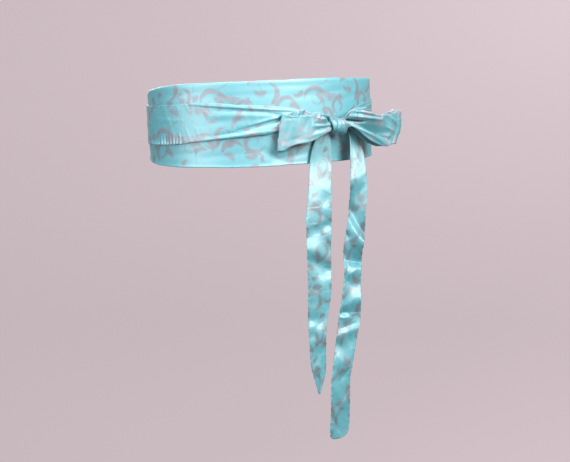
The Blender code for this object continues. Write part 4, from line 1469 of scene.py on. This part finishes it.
# %% [markdown]
# Studio
# The sash is shown in a round studio: a pale floor that curves up into a wall on all sides. A
# floor and a wall would meet in a line behind the sash, and here there is none wherever the
# camera stands. Half of the profile is drawn and spun round the upright axis with a Screw
# modifier. It glows a little and is hidden from the rays that light the sash, so that the paper
# stays evenly pale while the lamps alone shape the folds.

# %% Floor and backdrop
FLOOR_HEIGHT = -1.70
WALL_PLACE = 3.2
WALL_TOP = 3.0
SWEEP_RADIUS = 0.9
SWEEP_STEPS = 16
ROUND_STEPS = 96
PAPER = (0.560, 0.470, 0.500, 1.0)
PAPER_DARKER = 0.94
PAPER_CLOUDS = 0.6
PAPER_ROUGH = 0.9
PAPER_GLOW = 0.36


def pale_paper():
    """Matt paper that glows a little, very softly clouded."""
    paper = bpy.data.materials.new("paper")
    paper.use_nodes = True
    tree = paper.node_tree
    shader = tree.nodes["Principled BSDF"]
    spot = tree.nodes.new("ShaderNodeTexCoord")
    soft = noise(tree, spot.outputs["Object"], PAPER_CLOUDS)
    colour = mix_colour(tree, soft, PAPER, darkened(PAPER, PAPER_DARKER))
    tree.links.new(colour, shader.inputs["Base Color"])
    tree.links.new(colour, shader.inputs["Emission Color"])
    dial(shader, {"Roughness": PAPER_ROUGH, "Emission Strength": PAPER_GLOW})
    return paper


def make_backdrop():
    outline = [(0.0, 0.0, FLOOR_HEIGHT)]
    for i in range(SWEEP_STEPS + 1):
        turn = pi / 2 * i / SWEEP_STEPS
        outline.append((
            WALL_PLACE - SWEEP_RADIUS + SWEEP_RADIUS * sin(turn),
            0.0,
            FLOOR_HEIGHT + SWEEP_RADIUS - SWEEP_RADIUS * cos(turn),
        ))
    outline.append((WALL_PLACE, 0.0, WALL_TOP))
    mesh = bpy.data.meshes.new("backdrop")
    mesh.from_pydata(outline, [(i, i + 1) for i in range(len(outline) - 1)], [])
    mesh.materials.append(pale_paper())
    backdrop = bpy.data.objects.new("backdrop", mesh)
    bpy.context.scene.collection.objects.link(backdrop)
    spin = backdrop.modifiers.new("spin", "SCREW")
    spin.axis = "Z"
    spin.steps = ROUND_STEPS
    spin.render_steps = ROUND_STEPS
    spin.use_merge_vertices = True
    spin.use_smooth_shade = True
    backdrop.visible_diffuse = False
    backdrop.visible_glossy = False
    backdrop.visible_shadow = False
    print("the backdrop is", 2 * WALL_PLACE, "m wide, its profile has", len(outline), "points")


make_backdrop()

# %% [markdown]
# Light
# One lamp would do to see the sash, but satin shows its folds by what it mirrors, so it needs
# large lamps on several sides. The key light is in front, a little to the right and above. It
# throws the shadow of the bow down on the panel and leaves the ground between the tails dark. A
# lamp overhead brings out the folds that face up. A broad fill from the left keeps the shade blue
# and open, one behind shows the crossing of the ties, one brightens the wall on the right, and a
# dim room light does the rest. The lamps themselves are kept out of the picture.

# %% Lights
Lamp = namedtuple("Lamp", "name azimuth elevation distance size power colour aim")
LAMPS = table(
    Lamp,
    ("key", 20, 27, 1.9, 1.15, 53, (1.0, 0.985, 0.97), (0, 0, 0)),
    ("top", -20, 68, 1.8, 1.00, 34, (1.0, 0.99, 0.98), (0, 0, 0)),
    ("fill", -64, 9, 2.2, 1.80, 44, (0.97, 0.985, 1.0), (0, 0, 0)),
    ("back fill", 168, 24, 2.2, 1.40, 42, (0.99, 0.99, 1.0), (0, 0, 0)),
    ("wall wash", 112, 32, 2.1, 0.80, 15, (1.0, 0.99, 0.98), (2.2, 2.2, 0.0)),
)
ROOM_COLOUR = (0.93, 0.92, 0.95, 1.0)
ROOM_LIGHT = 0.16

for lamp in LAMPS:
    light = bpy.data.lights.new(lamp.name, "AREA")
    light.shape = "DISK"
    light.size = lamp.size
    light.energy = lamp.power
    light.color = lamp.colour
    holder = bpy.data.objects.new(lamp.name, light)
    bpy.context.scene.collection.objects.link(holder)
    holder.location = direction(radians(lamp.azimuth), radians(lamp.elevation)) * lamp.distance
    holder.rotation_euler = (Vector(lamp.aim) - holder.location).to_track_quat("-Z", "Y").to_euler()
    holder.visible_camera = False
    print(lamp.name, "lamp at", [round(value, 2) for value in holder.location])

world = bpy.data.worlds.new("studio")
world.use_nodes = True
dial(world.node_tree.nodes["Background"], {"Color": ROOM_COLOUR, "Strength": ROOM_LIGHT})
bpy.context.scene.world = world
bpy.context.scene.view_settings.view_transform = "Standard"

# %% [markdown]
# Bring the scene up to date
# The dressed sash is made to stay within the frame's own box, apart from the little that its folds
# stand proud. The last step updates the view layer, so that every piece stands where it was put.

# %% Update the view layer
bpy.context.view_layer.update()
